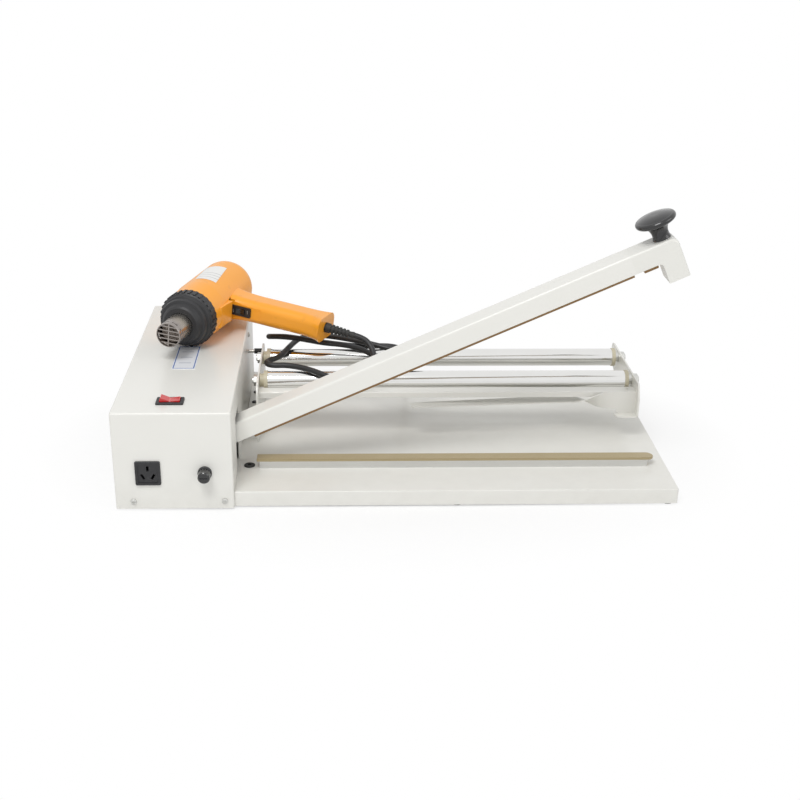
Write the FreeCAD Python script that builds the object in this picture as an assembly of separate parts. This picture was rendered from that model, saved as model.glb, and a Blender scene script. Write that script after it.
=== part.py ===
import FreeCAD, Part
import math
import os

from FreeCAD import Vector

# Hand impulse sealer with a film stand and a shrink gun, millimetres.
# Working frame while modelling: X = 0 at the housing's right wall, Y = 0 at the
# front edge of the base, Z = 0 at the underside of the sheet metal. Everything is
# moved at the end so that the origin is the middle of the footprint, on the table.

# ---------------------------------------------------------------- base
base_length = 497.0
base_depth = 355.0
base_height = 17.6
base_sheet = 1.5
base_lip = 20.0
base_corner = 3.0
base_bend = 1.2
foot_radius = 8.0
foot_proud = 2.0
foot_stem_radius = 3.2
foot_button_radius = 4.4
foot_button = 1.2
grommet_x = 12.8
grommet_bore = 5.0
grommet_hole = 2.2
grommet_lip = 1.35

# ---------------------------------------------------------------- housing
housing_length = 130.0
housing_depth = 357.0
housing_height = 115.0
housing_front = -5.0
housing_sheet = 1.2
housing_corner = 2.4
cover_gap = 0.4
tongue_gap_back = 4.0
tongue_gap_side = 3.0
slot_margin = 2.5
slot_top = 85.0
vent_count = 5
vent_pitch = 6.0
vent_slot = 2.4
vent_low = 74.0
vent_margin = 20.0
screw_radius = 1.9
screw_head_radius = 3.6
screw_head_height = 2.0
screw_z = 9.0
cover_screw_length = 9.0
cover_screw_inset_right = 10.0
cover_screw_inset_left = 20.0
wall_screw_y = 275.0
wall_screw_z = 102.0
label_length = 74.0
label_width = 27.5
label_thick = 0.5
label_corner = 2.5
label_inset_x = 51.5
label_start_y = 122.0

# ---------------------------------------------------------------- switch, outlet, fuse, inlet
switch_x = (-83.3, -53.1)
switch_y = (17.0, 35.0)
switch_flange = 2.4
switch_body_depth = 18.0
switch_shoulder = 1.6
blade_reach = 8.0
blade_pitch = 6.0
rocker_half = 10.4
rocker_rise = 4.6
rocker_width = 11.4
rocker_throw = 16.0
rocker_axle_radius = 1.5
socket_x = (-106.3, -78.6)
socket_z = (29.7, 58.3)
socket_proud = 2.2
socket_body_depth = 20.0
socket_rim = 3.0
socket_slot_depth = 16.0
fuse_x = -30.5
fuse_z = 44.0
fuse_flange_radius = 7.8
fuse_flange = 3.6
fuse_body_radius = 6.2
fuse_body_depth = 30.0
fuse_bore = 3.6
fuse_link_length = 20.0
fuse_link_radius = 2.6
fuse_cap_radius = 7.0
fuse_cap_length = 10.6
fuse_cap_flutes = 16
inlet_x = (-90.0, -40.0)
inlet_z = (34.0, 62.0)
inlet_flange = 2.5
inlet_body_depth = 22.0
inlet_mouth_depth = 15.0
inlet_mouth_half = (12.0, 8.0)
inlet_ear = 11.4

# ---------------------------------------------------------------- inside the housing
transformer_x = -64.0
transformer_y = 205.0
core_half = 38.0
core_height = 64.0
core_stack = 35.0
core_leg = 25.4
core_window = 12.7
core_foot = 10.0
core_foot_thick = 3.0
coil_clearance = 0.3
board_x = -112.0
board_y = 260.0
board_length = 60.0
board_width = 48.0
board_thick = 1.6
board_standoff = 8.0
board_post_radius = 2.5
board_post_inset = 5.0
relay_size = (19.0, 15.0, 15.4)
capacitor_radius = 6.5
capacitor_height = 16.4
terminal_block_size = (38.0, 9.0, 10.4)

# ---------------------------------------------------------------- seal bar
seal_length = 460.0
seal_start = 21.6
seal_width = 15.5
seal_line_y = 65.5
bar_height = 8.6
bar_inset_left = 3.0
bar_inset_right = 8.0
bar_wall = 3.0
insulator_height = 2.0
wire_height = 0.2
wire_width = 4.0
wire_inset = 6.0
cover_strip_height = 0.3
cover_strip_margin = 0.8
terminal_inset = 9.0
terminal_hole_radius = 3.0
terminal_post_radius = 1.6
terminal_washer_radius = 6.5
terminal_washer = 3.0

# ---------------------------------------------------------------- hinge
pivot_x = -47.0
pivot_z = 46.0
pin_radius = 4.0
running_clearance = 0.05
side_clearance = 0.3
bracket_sheet = 3.0
bracket_x = (-76.0, -3.0)
bracket_flange = 9.0
ear_rise = 27.0
bush_radius = 6.0
spring_x = -14.0
spring_wire = 2.0
spring_mean = 7.0
spring_turns = 8
micro_length = 20.0
micro_height = 10.0
micro_half = 3.2
plunger_size = 2.0
terminal_reach = 5.8

# ---------------------------------------------------------------- arm
arm_width = 30.0
arm_height = 22.0
arm_above_pivot = 10.0
arm_sheet = 1.5
arm_bend = 2.5
arm_tail = 20.0
arm_tail_corner = 8.0
arm_rest_angle = 24.37
arm_reach = 581.0
end_piece_length = 54.0
arm_channel_end = arm_reach - end_piece_length
end_spigot = 14.0
end_wall = 3.0
end_nose = 9.0
foot_length = 24.0
foot_start = arm_reach - foot_length
foot_drop = 37.0
foot_hollow = 18.0
pressure_bar_height = 9.0
pressure_bar_wall = 5.0
pressure_bar_web = 4.0
strip_start = 67.0
strip_width = 19.0
strip_height = 5.0
pad_gap_left = 9.0
pad_gap_right = 4.5
end_screw_inset = 5.0
knob_inset = 14.0
knob_station = arm_reach - knob_inset
knob_radius = 22.5
knob_stem_radius = 10.3
knob_height = 24.0
knob_bolt_radius = 3.0
knob_bolt_depth = 12.0
end_screw_radius = 1.6

# ---------------------------------------------------------------- film stand
roller_radius = 10.8
roller_wall = 1.5
roller_start = 30.0
roller_length = 435.6
roller_height = 80.8
front_roller_y = 171.3
rear_roller_y = 246.4
hub_radius = 11.8
hub_neck_radius = 8.2
hub_neck = 5.1
hub_depth = 10.0
hub_flange_right = 4.4
hub_flange_radius = 11.5
axle_radius = 4.0
axle_end = 1.5
nut_reach = 7.0
nut_thick = 5.0
collar_radius = 6.0
plate_sheet = 2.0
left_plate_x = 18.0
left_flange_x = 1.0
left_flange_inset = 10.0
right_plate_x = 475.5
plate_front_y = 128.0
plate_rear_y = 285.0
left_plate_top = 90.0
left_plate_corner = 14.0
right_plate_top = 88.0
right_plate_bottom = 47.0
right_plate_lead = 12.0
right_plate_dip = 10.0
stand_screw_y = (150.0, 245.0, 278.0)
stand_screw_length = 6.0
spacer_y = 262.0
spacer_z = 84.0
spacer_radius = 2.25
spacer_sleeve_length = 10.0
spacer_nut_reach = 4.6
spacer_nut_thick = 3.5
cross_sheet = 1.5
cross_y = 142.0
cross_top = 76.0
cross_depth = 15.0
cross_lip = 7.0
cross_hole_radius = 1.6
cross_hole_inset = 9.0
separator_width = 21.0
separator_height = 60.0
separator_tip_x = 203.0
separator_tip_width = 12.6
separator_back = 16.0
separator_tip_shift = 18.0
separator_flange = 12.0
twist_start_x = 447.0
twist_length = 48.0

# ---------------------------------------------------------------- heat gun
gun_body_radius = 35.0
gun_nozzle_radius = 15.0
gun_ring_radius = 34.5
gun_nozzle_x = -83.0
gun_nozzle_y = 141.0
gun_turn = 16.0
gun_roll = 5.5
gun_length = 216.0
gun_wall = 3.0
gun_collar_start = 36.0
gun_body_start = 70.0
gun_taper = 28.0
gun_dome = 27.0
gun_nozzle_wall = 0.8
gun_nozzle_seat = 6.0
gun_bore_gap = 0.3
gun_handle_station = 142.0
gun_handle_reach = 160.0
gun_handle_lean = -8.0
gun_handle_depth = 37.0
gun_handle_thick = 29.0
gun_heel_shift = 3.0
ramp_width = 26.0
ramp_reach = 38.0
gun_vents = 5
gun_vent_pitch = 6.0
gun_vent_width = 2.4
gun_vent_length = 22.0
gun_ribs = 30
gun_rib_width = 3.0
gun_mouth_slots = 8
gun_grille_pitch = 5.0
gun_fan_station = 176.0
fan_radius = 25.0
fan_blades = 7
fan_depth = 6.0
motor_radius = 17.0
motor_length = 47.0
motor_shaft_radius = 1.6
heater_radius = 12.5
heater_core_radius = 4.0
heater_discs = 6
heater_pitch = 9.0
gun_plate_start = 36.0
gun_plate_length = 28.0
gun_plate_width = 12.5
gun_plate_thick = 2.2
gun_plate_sink = 0.6
gun_seat_run = 14.0
gun_rocker_half = 5.6
gun_rocker_rise = 2.6
gun_rocker_width = 6.6
gun_rocker_axle = 0.9
relief_root = 6.5
relief_length = 36.0
relief_drop = 8.0
relief_seat = 4.5
relief_rings = 6
relief_aim = (32.0, -6.0)

# ---------------------------------------------------------------- the gun's lead
# from the strain relief over the rollers, round behind them and along the bench
cord_radius = 3.5
cord_straight = 13.0
cord_route = [
    (156, 194.5, 116), (159.5, 183.5, 107), (159, 170, 99.5), (153, 156, 95), (142, 145, 92),
    (124, 140, 91), (104, 148, 94), (80, 169, 96), (54, 182.5, 96), (37, 181, 96), (28, 186, 96),
    (28, 196, 96), (42, 209, 96), (50, 232, 96.3), (57, 253, 97), (66, 271, 98.5), (85, 279, 99.5),
    (105, 268, 102), (130, 251, 104), (158, 235, 103.5), (184, 227, 99), (206, 224, 96),
    (219, 208.5, 95), (217, 188.5, 95), (201, 176, 96), (181, 179, 97), (168, 194, 98), (156, 210, 100),
    (140, 222, 103.5), (120, 226, 106.5), (98, 228, 107.5), (76, 237, 108.5), (52, 250, 108),
    (34, 259, 105), (24, 275, 99), (31.5, 294.5, 92), (53, 300, 88.5), (76, 286, 90.5), (98, 268, 93.3),
    (121, 253.5, 95.6), (144, 246.5, 95.8), (166, 249, 95.8), (186, 259, 91.5), (200, 275, 80),
    (206, 291, 64), (207, 308, 47), (207, 326, 32), (202, 345, 26.5), (191, 363, 19.5), (173, 375, 7.5),
    (148, 381, 1.6), (118, 384, 1.6), (86, 386, 1.6), (54, 384, 1.6), (22, 385, 1.6), (-4, 385, 1.6)]
hank_length = 120.0
hank_width = 48.0
hank_height = 4 * cord_radius
hank_corner = 20.0
plug_length = 30.0
plug_width = 27.0
plug_thick = 18.0
plug_relief = 28.0
plug_rings = 5
plug_inset = 14.0
plug_offset = 11.0
plug_gap = 0.05
pin_length = 17.0
pin_width = 6.3
pin_thick = 1.5
pin_spread = 12.7

joints = {}
parts = {}
cord_pieces = ("gun_cord", "gun_cord_hank", "gun_plug")


# ---------------------------------------------------------------- small helpers
def block(x0, x1, y0, y1, z0, z1):
    return Part.makeBox(x1 - x0, y1 - y0, z1 - z0, Vector(x0, y0, z0))


def rod(radius, start, end):
    axis = end.sub(start)
    return Part.makeCylinder(radius, axis.Length, start, axis)


def rod_x(radius, x0, x1, y, z):
    return rod(radius, Vector(x0, y, z), Vector(x1, y, z))


def rod_y(radius, y0, y1, x, z):
    return rod(radius, Vector(x, y0, z), Vector(x, y1, z))


def rod_z(radius, z0, z1, x, y):
    return rod(radius, Vector(x, y, z0), Vector(x, y, z1))


def prism(points, travel):
    """A polygon given as points, pushed along the vector travel."""
    return Part.Face(Part.makePolygon(points + points[:1])).extrude(travel)


def fuse_all(shapes):
    whole = shapes[0]
    for shape in shapes[1:]:
        whole = whole.fuse(shape)
    return whole.removeSplitter()


def edges_along(shape, axis, where=None):
    """Straight edges parallel to a unit axis, kept when where(middle) is true."""
    found = []
    for edge in shape.Edges:
        if len(edge.Vertexes) != 2:
            continue
        run = edge.Vertexes[1].Point.sub(edge.Vertexes[0].Point)
        if run.Length < 1e-6 or abs(abs(run.dot(axis)) - run.Length) > 1e-6:
            continue
        middle = edge.Vertexes[0].Point.add(edge.Vertexes[1].Point).multiply(0.5)
        if where is None or where(middle):
            found.append(edge)
    return found


def turned(profile, start, axis):
    """A solid of revolution from (along, radius) pairs about axis through start."""
    along = Vector(axis).normalize()
    side = along.cross(Vector(0, 0, 1))
    if side.Length < 1e-6:
        side = Vector(1, 0, 0)
    side.normalize()
    points = [start.add(along * a).add(side * r) for a, r in profile]
    face = Part.Face(Part.makePolygon(points + points[:1]))
    return face.revolve(start, along, 360)


AXIS_X = Vector(1, 0, 0)
AXIS_Y = Vector(0, 1, 0)
AXIS_Z = Vector(0, 0, 1)
housing_back = housing_front + housing_depth
seal_end = seal_start + seal_length
terminal_places = (seal_start + terminal_inset, seal_end - terminal_inset)
seal_front = seal_line_y - seal_width / 2
seal_back = seal_line_y + seal_width / 2


# ---------------------------------------------------------------- base
def make_base():
    inner_front = 0.0
    inner_back = housing_back - housing_sheet - tongue_gap_back
    inner_left = -housing_length + housing_sheet + tongue_gap_side
    pan = block(0, base_length, 0, base_depth, 0, base_height)
    tongue = block(inner_left, 1, inner_front, inner_back, 0, base_height)
    hollow = block(base_sheet, base_length - base_sheet, base_sheet, base_depth - base_sheet,
                   base_sheet, base_height - base_sheet)
    hollow_tongue = block(inner_left + base_sheet, 2 * base_sheet, inner_front + base_sheet,
                          inner_back - base_sheet, base_sheet, base_height - base_sheet)
    window = block(base_lip, base_length - base_lip, base_lip, base_depth - base_lip, -1, base_sheet + 1)
    window_tongue = block(inner_left + base_lip, base_lip + 1, inner_front + base_lip,
                          inner_back - base_lip, -1, base_sheet + 1)
    shell = pan.fuse(tongue).removeSplitter()
    corners = edges_along(shell, AXIS_Z, lambda p: p.x > base_length - 1)
    shell = shell.makeFillet(base_corner, corners)
    tops = edges_along(shell, AXIS_X, lambda p: p.z > base_height - 0.1 and p.y < 0.1)
    shell = shell.makeFillet(base_bend, tops)
    for cutter in (hollow, hollow_tongue, window, window_tongue):
        shell = shell.cut(cutter)
    under_skin = base_height - 2 * base_sheet
    for x in terminal_places:
        shell = shell.cut(rod_z(terminal_hole_radius, under_skin, base_height + 1, x, seal_line_y))
    shell = shell.cut(rod_z(grommet_bore, under_skin, base_height + 1, grommet_x, seal_line_y))
    parts["base_plate"] = shell

    feet = []
    pad = foot_radius + base_sheet + 1.0
    right = base_length - pad
    for x, back in ((inner_left + pad, inner_back), (base_length / 2, base_depth), (right, base_depth)):
        for y in (pad, back - pad):
            foot = rod_z(foot_radius, -foot_proud, 0, x, y)
            foot = foot.fuse(rod_z(foot_stem_radius, 0, base_sheet, x, y))
            foot = foot.fuse(rod_z(foot_button_radius, base_sheet, base_sheet + foot_button, x, y))
            feet.append(foot.removeSplitter())
            parts["base_plate"] = parts["base_plate"].cut(rod_z(foot_stem_radius, -1, base_sheet, x, y))
    parts["base_feet"] = Part.makeCompound(feet)


def make_grommet():
    lip = grommet_bore + grommet_lip
    ring = turned([(-base_sheet - 0.7, grommet_hole), (-base_sheet - 0.7, lip - 0.35), (-base_sheet - 0.1, lip),
                   (-base_sheet, lip), (-base_sheet, grommet_bore), (0, grommet_bore), (0, lip), (0.9, lip),
                   (1.6, grommet_bore + 0.2), (1.6, grommet_hole)],
                  Vector(grommet_x, seal_line_y, base_height), AXIS_Z)
    parts["wire_grommet"] = ring


# ---------------------------------------------------------------- seal bar
def make_seal():
    z = base_height
    bar_start = seal_start + bar_inset_left
    bar_end = seal_end - bar_inset_right
    bar = block(bar_start, bar_end, seal_front, seal_back, z, z + bar_height)
    groove = block(bar_start - 1, bar_end + 1, seal_front + bar_wall, seal_back - bar_wall,
                   z - 1, z + bar_wall)
    bar = bar.cut(groove)
    for x in terminal_places:
        bar = bar.cut(rod_z(terminal_hole_radius, z, z + bar_height + 1, x, seal_line_y))
    parts["seal_bar"] = bar

    z += bar_height
    half = seal_width / 2
    strip = block(seal_start, seal_end - half, seal_front, seal_back, z, z + insulator_height)
    strip = strip.fuse(rod_z(half, z, z + insulator_height, seal_end - half, seal_line_y)).removeSplitter()
    for x in terminal_places:
        strip = strip.cut(rod_z(terminal_post_radius + 0.2, z - 1, z + insulator_height + 1, x, seal_line_y))
    parts["seal_insulator"] = strip

    z += insulator_height
    wire = block(seal_start + wire_inset, seal_end - wire_inset, seal_line_y - wire_width / 2,
                 seal_line_y + wire_width / 2, z, z + wire_height)
    parts["heating_wire"] = wire
    top = z + wire_height + cover_strip_height
    cover = block(seal_start + cover_strip_margin, seal_end - half, seal_front + cover_strip_margin,
                  seal_back - cover_strip_margin, z, top)
    end = rod_z(half - cover_strip_margin, z, top, seal_end - half, seal_line_y)
    parts["seal_cover"] = cover.fuse(end).removeSplitter().cut(wire)

    posts = []
    for x in terminal_places:
        under = base_height - base_sheet - terminal_washer
        bore = terminal_post_radius + 0.4
        post = rod_z(terminal_post_radius, under - 7.0, z, x, seal_line_y)
        nut = rod_z(2.4 * terminal_post_radius, under - 5.6, under - 2.6, x, seal_line_y)
        posts.append(post.fuse(nut).removeSplitter())
        posts.append(turned([(0, bore), (0, terminal_washer_radius), (terminal_washer, terminal_washer_radius),
                             (terminal_washer, bore)], Vector(x, seal_line_y, under), AXIS_Z))
    parts["wire_terminals"] = Part.makeCompound(posts)


# ---------------------------------------------------------------- housing
def make_housing():
    left = -housing_length
    outer = block(left, 0, housing_front, housing_back, 0, housing_height)
    outer = outer.makeFillet(housing_corner, edges_along(outer, AXIS_Z))
    rims = [edge for edge in outer.Edges if min(v.Z for v in edge.Vertexes) > housing_height - 0.1]
    outer = outer.makeFillet(housing_corner * 0.9, rims)
    inner = block(left + housing_sheet, -housing_sheet, housing_front + housing_sheet,
                  housing_back - housing_sheet, -1, housing_height - housing_sheet)
    inner = inner.makeFillet(housing_corner - housing_sheet, edges_along(inner, AXIS_Z))
    cover = outer.cut(inner)
    # the right wall stops just above the base plate, and the arm passes through a slot
    cover = cover.cut(block(-2 * housing_sheet, 1, -cover_gap, housing_back + 1, -1, base_height + cover_gap))
    half_slot = arm_width / 2 + slot_margin
    slot = block(-2 * housing_sheet, 1, seal_line_y - half_slot, seal_line_y + half_slot,
                 base_height, slot_top)
    slot = slot.makeFillet(2.0, edges_along(slot, AXIS_X, lambda p: p.z > slot_top - 0.1))
    cover = cover.cut(slot)
    cover = cover.cut(block(switch_x[0] + 1.2, switch_x[1] - 1.2, switch_y[0] + 1.2, switch_y[1] - 1.2,
                            housing_height - 3, housing_height + 1))
    cover = cover.cut(block(socket_x[0] + 1.2, socket_x[1] - 1.2, housing_front - 1, housing_front + 3,
                            socket_z[0] + 1.2, socket_z[1] - 1.2))
    cover = cover.cut(rod_y(fuse_body_radius, housing_front - 1, housing_front + 3, fuse_x, fuse_z))
    cover = cover.cut(block(inlet_x[0] + inlet_ear - 0.4, inlet_x[1] - inlet_ear + 0.4, housing_back - 3,
                            housing_back + 1, inlet_z[0] + 2, inlet_z[1] - 2))
    cover = cover.cut(rod_x(spacer_radius, -3, 1, spacer_y, spacer_z))
    cover = cover.cut(rod_x(screw_radius, -3, 1, wall_screw_y, wall_screw_z))
    for x, y, axis in cover_screw_places():
        cover = cover.cut(rod(screw_radius, Vector(x, y, screw_z), Vector(x, y, screw_z).add(axis * 6)))
    # louvres in the rear wall
    for k in range(vent_count):
        z = vent_low + vent_pitch * k
        cover = cover.cut(block(-housing_length + vent_margin, -vent_margin, housing_back - 2 * housing_sheet,
                                housing_back + 1, z, z + vent_slot))
    parts["housing_cover"] = cover


def cover_screw_places():
    """(x, y, inward axis) of the screws that hold the cover to the base."""
    right = -cover_screw_inset_right
    left = -housing_length + cover_screw_inset_left
    walls = ((housing_front, AXIS_Y), (housing_back, -AXIS_Y))
    return [(x, y, axis) for y, axis in walls for x in (right, left)]


def screw(place, axis, length, head_radius=screw_head_radius, head_height=screw_head_height,
          shank=screw_radius):
    """Pan-head cross-recess screw: head outside place, shank along axis."""
    axis = Vector(axis).normalize()
    head = turned([(0, 0), (0, head_radius), (-head_height * 0.55, head_radius * 0.96),
                   (-head_height, head_radius * 0.55), (-head_height, 0)], place, axis)
    body = rod(shank, place, place.add(axis * length))
    whole = head.fuse(body)
    across = axis.cross(AXIS_Z)
    if across.Length < 0.1:
        across = Vector(1, 0, 0)
    across.normalize()
    up = axis.cross(across)
    for one, other in ((across, up), (up, across)):
        corner = place.sub(axis * (head_height + 0.5))
        a = one * (head_radius * 0.55)
        b = other * 0.4
        points = [corner.sub(a).sub(b), corner.add(a).sub(b), corner.add(a).add(b), corner.sub(a).add(b)]
        whole = whole.cut(prism(points, axis * 1.4))
    return whole.removeSplitter()


def make_housing_screws():
    screws = []
    for x, y, axis in cover_screw_places():
        place = Vector(x, y, screw_z)
        screws.append(screw(place, axis, cover_screw_length))
        hole = rod(screw_radius, place, place.add(axis * (2 * cover_screw_length)))
        parts["base_plate"] = parts["base_plate"].cut(hole)
    screws.append(screw(Vector(0, wall_screw_y, wall_screw_z), -AXIS_X, cover_screw_length))
    parts["housing_screws"] = Part.makeCompound(screws)


def make_label():
    plate = block(-label_inset_x - label_width, -label_inset_x, label_start_y, label_start_y + label_length,
                  housing_height, housing_height + label_thick)
    parts["label_plate"] = plate.makeFillet(label_corner, edges_along(plate, AXIS_Z))


def make_power_switch():
    cx = (switch_x[0] + switch_x[1]) / 2
    cy = (switch_y[0] + switch_y[1]) / 2
    top = housing_height
    flange = block(switch_x[0], switch_x[1], switch_y[0], switch_y[1], top, top + switch_flange)
    flange = flange.makeFillet(1.5, edges_along(flange, AXIS_Z))
    rims = [edge for edge in flange.Edges if min(v.Z for v in edge.Vertexes) > top + 0.1]
    flange = flange.makeFillet(0.8, rims)
    low = top - switch_body_depth
    body = block(switch_x[0] + switch_shoulder, switch_x[1] - switch_shoulder, switch_y[0] + switch_shoulder,
                 switch_y[1] - switch_shoulder, low, top)
    bezel = flange.fuse(body)
    pivot = Vector(cx, cy, top + 1.0)
    reach = math.hypot(rocker_half, rocker_rise)
    well = reach + side_clearance
    bezel = bezel.cut(block(cx - well, cx + well, cy - rocker_width / 2 - side_clearance,
                            cy + rocker_width / 2 + side_clearance, low + 6.0, top + 5))
    for k in (-1, 0, 1):
        x = cx + k * blade_pitch
        bezel = bezel.fuse(block(x - 0.4, x + 0.4, cy - 3.0, cy + 3.0, low - blade_reach, low + 1.0))
    parts["switch_bezel"] = bezel.removeSplitter()

    left = Vector(-rocker_half, -rocker_width / 2, rocker_rise)
    right = Vector(rocker_half, -rocker_width / 2, rocker_rise)
    valley = Vector(0, -rocker_width / 2, rocker_rise * 0.42)
    low_left = Vector(-reach * math.cos(math.radians(42)), left.y, -reach * math.sin(math.radians(42)))
    low_right = Vector(-low_left.x, left.y, low_left.z)
    mid_left = Vector(-reach, left.y, 0)
    mid_right = Vector(reach, left.y, 0)
    outline = Part.Wire([Part.Arc(low_left, mid_left, left).toShape(),
                         Part.LineSegment(left, valley).toShape(),
                         Part.LineSegment(valley, right).toShape(),
                         Part.Arc(right, mid_right, low_right).toShape(),
                         Part.LineSegment(low_right, low_left).toShape()])
    rocker = Part.Face(outline).extrude(AXIS_Y * rocker_width)
    rocker = rocker.makeFillet(0.6, edges_along(rocker, AXIS_Y, lambda p: p.z > rocker_rise - 0.1))
    rocker.rotate(Vector(0, 0, 0), AXIS_Y, rocker_throw / 2)
    rocker.translate(pivot)
    parts["power_rocker"] = rocker
    stub = rod_y(rocker_axle_radius, switch_y[0] + 2.0, switch_y[1] - 2.0, pivot.x, pivot.z)
    hole = rod_y(rocker_axle_radius + running_clearance, switch_y[0] + 1.0, switch_y[1] - 1.0,
                 pivot.x, pivot.z)
    parts["power_rocker"] = parts["power_rocker"].cut(hole)
    parts["switch_bezel"] = parts["switch_bezel"].fuse(stub).removeSplitter()
    joints["power_rocker"] = pivot


def make_outlet():
    x0, x1 = socket_x
    z0, z1 = socket_z
    face = housing_front - socket_proud
    frame = block(x0, x1, face, housing_front, z0, z1)
    frame = frame.makeFillet(1.8, edges_along(frame, AXIS_Y))
    rims = [edge for edge in frame.Edges if max(v.Y for v in edge.Vertexes) < face + 0.1]
    frame = frame.makeFillet(0.7, rims)
    rear = housing_front + socket_body_depth
    body = block(x0 + 1.6, x1 - 1.6, housing_front, rear, z0 + 1.6, z1 - 1.6)
    outlet = frame.fuse(body)
    cx = (x0 + x1) / 2
    cz = (z0 + z1) / 2
    dish = block(x0 + socket_rim, x1 - socket_rim, face - 1, face + 0.8, z0 + socket_rim, z1 - socket_rim)
    dish = dish.makeFillet(2.0, edges_along(dish, AXIS_Y))
    outlet = outlet.cut(dish)
    earth = block(cx - 1.4, cx + 1.4, face, face + socket_slot_depth, cz + 2.6, cz + 8.8)
    outlet = outlet.cut(earth)
    for side in (-1, 1):
        pin = block(-1.3, 1.3, face, face + socket_slot_depth, -3.4, 3.4)
        pin.rotate(Vector(0, 0, 0), AXIS_Y, side * 30)
        pin.translate(Vector(cx + side * 5.6, 0, cz - 4.0))
        outlet = outlet.cut(pin)
    for side in (-6.0, 6.0):
        outlet = outlet.fuse(block(cx + side - 2.5, cx + side + 2.5, rear, rear + 7, cz - 0.5, cz + 0.5))
    parts["outlet_socket"] = outlet.removeSplitter()


def make_fuse():
    face = housing_front
    end = fuse_body_depth
    holder = turned([(0, fuse_body_radius), (0, fuse_flange_radius), (0.6 - fuse_flange, fuse_flange_radius),
                     (-fuse_flange, fuse_flange_radius - 0.6), (-fuse_flange, fuse_bore),
                     (end - 4.0, fuse_bore), (end - 4.0, 0.0), (end, 0.0), (end, fuse_body_radius)],
                    Vector(fuse_x, face, fuse_z), AXIS_Y)
    nut = turned([(housing_sheet, fuse_body_radius), (housing_sheet, fuse_flange_radius + 1.2),
                  (housing_sheet + 3.0, fuse_flange_radius + 1.2), (housing_sheet + 3.0, fuse_body_radius)],
                 Vector(fuse_x, face, fuse_z), AXIS_Y)
    parts["fuse_holder"] = holder.fuse(nut).removeSplitter()

    start = Vector(fuse_x, face - fuse_flange - 0.2, fuse_z)
    long = fuse_cap_length
    cap = turned([(0, 0), (0, fuse_cap_radius), (1.0 - long, fuse_cap_radius - 0.3),
                  (-long, fuse_cap_radius - 1.2), (-long, 0)], start, AXIS_Y)
    for k in range(fuse_cap_flutes):
        angle = 2 * math.pi * k / fuse_cap_flutes
        out = Vector(math.cos(angle), 0, math.sin(angle)) * (fuse_cap_radius + 0.2)
        flute = rod(0.7, start.add(out).add(AXIS_Y), start.add(out).sub(AXIS_Y * (long - 2.1)))
        cap = cap.cut(flute)
    tip = start.y - long
    cap = cap.cut(block(fuse_x - 4.2, fuse_x + 4.2, tip - 1, tip + 0.8, fuse_z - 0.6, fuse_z + 0.6))
    plug_end = start.y + 5.0
    plug = rod_y(fuse_bore - 0.3, start.y, plug_end, fuse_x, fuse_z)
    parts["fuse_cap"] = cap.fuse(plug).removeSplitter()
    link = rod_y(fuse_link_radius, plug_end, plug_end + fuse_link_length, fuse_x, fuse_z)
    low = fuse_link_radius - 0.25
    high = fuse_link_radius + 0.4
    cap_end = fuse_link_length - 4.0
    waist = turned([(4.0, low), (4.0, high), (cap_end, high), (cap_end, low)],
                   Vector(fuse_x, plug_end, fuse_z), AXIS_Y)
    parts["fuse_link"] = link.cut(waist)
    joints["fuse_cap"] = start


def make_inlet():
    x0, x1 = inlet_x
    z0, z1 = inlet_z
    back = housing_back
    cx = (x0 + x1) / 2
    cz = (z0 + z1) / 2
    wide, high = inlet_mouth_half
    floor = back - inlet_mouth_depth
    flange = block(x0, x1, back, back + inlet_flange, z0, z1)
    flange = flange.makeFillet(5.0, edges_along(flange, AXIS_Y))
    body = block(x0 + inlet_ear, x1 - inlet_ear, back - inlet_body_depth, back, z0 + 2.4, z1 - 2.4)
    inlet = flange.fuse(body)
    mouth = block(cx - wide, cx + wide, floor, back + inlet_flange + 1, cz - high, cz + high)
    mouth = mouth.makeChamfer(4.0, edges_along(mouth, AXIS_Y, lambda p: p.z > cz))
    inlet = inlet.cut(mouth)
    for dx, dz in ((-7.0, -1.5), (0.0, 2.5), (7.0, -1.5)):
        x = cx + dx
        z = cz + dz
        inlet = inlet.fuse(block(x - 1.0, x + 1.0, floor - 0.5, back - 1.0, z - 2.0, z + 2.0))
    for side in (-1, 1):
        inlet = inlet.cut(rod_y(1.7, back - 1, back + inlet_flange + 1, cx + side * 20.0, cz))
    parts["power_inlet"] = inlet.removeSplitter()


# ---------------------------------------------------------------- inside the housing
def make_transformer():
    floor = base_height
    cx = transformer_x
    cy = transformer_y
    stack = core_stack / 2
    leg = core_leg / 2
    top = floor + core_height
    core = block(cx - core_half, cx + core_half, cy - stack, cy + stack, floor, top)
    for side in (-1, 1):
        low = cx + side * (leg + core_window / 2) - core_window / 2
        core = core.cut(block(low, low + core_window, cy - stack - 1, cy + stack + 1, floor + core_window,
                              top - core_window))
        middle = cx + side * (core_half + core_foot / 2)
        core = core.fuse(block(middle - core_foot / 2, middle + core_foot / 2, cy - stack, cy + stack,
                               floor, floor + core_foot_thick))
    parts["transformer_core"] = core.removeSplitter()
    spread = core_window - coil_clearance
    coil = block(cx - leg - spread, cx + leg + spread, cy - stack - spread, cy + stack + spread,
                 floor + core_window + coil_clearance, top - core_window - coil_clearance)
    coil = coil.makeFillet(core_window / 2, edges_along(coil, AXIS_Z))
    coil = coil.cut(block(cx - leg - running_clearance, cx + leg + running_clearance,
                          cy - stack - running_clearance, cy + stack + running_clearance, floor, top))
    parts["transformer_coil"] = coil


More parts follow.
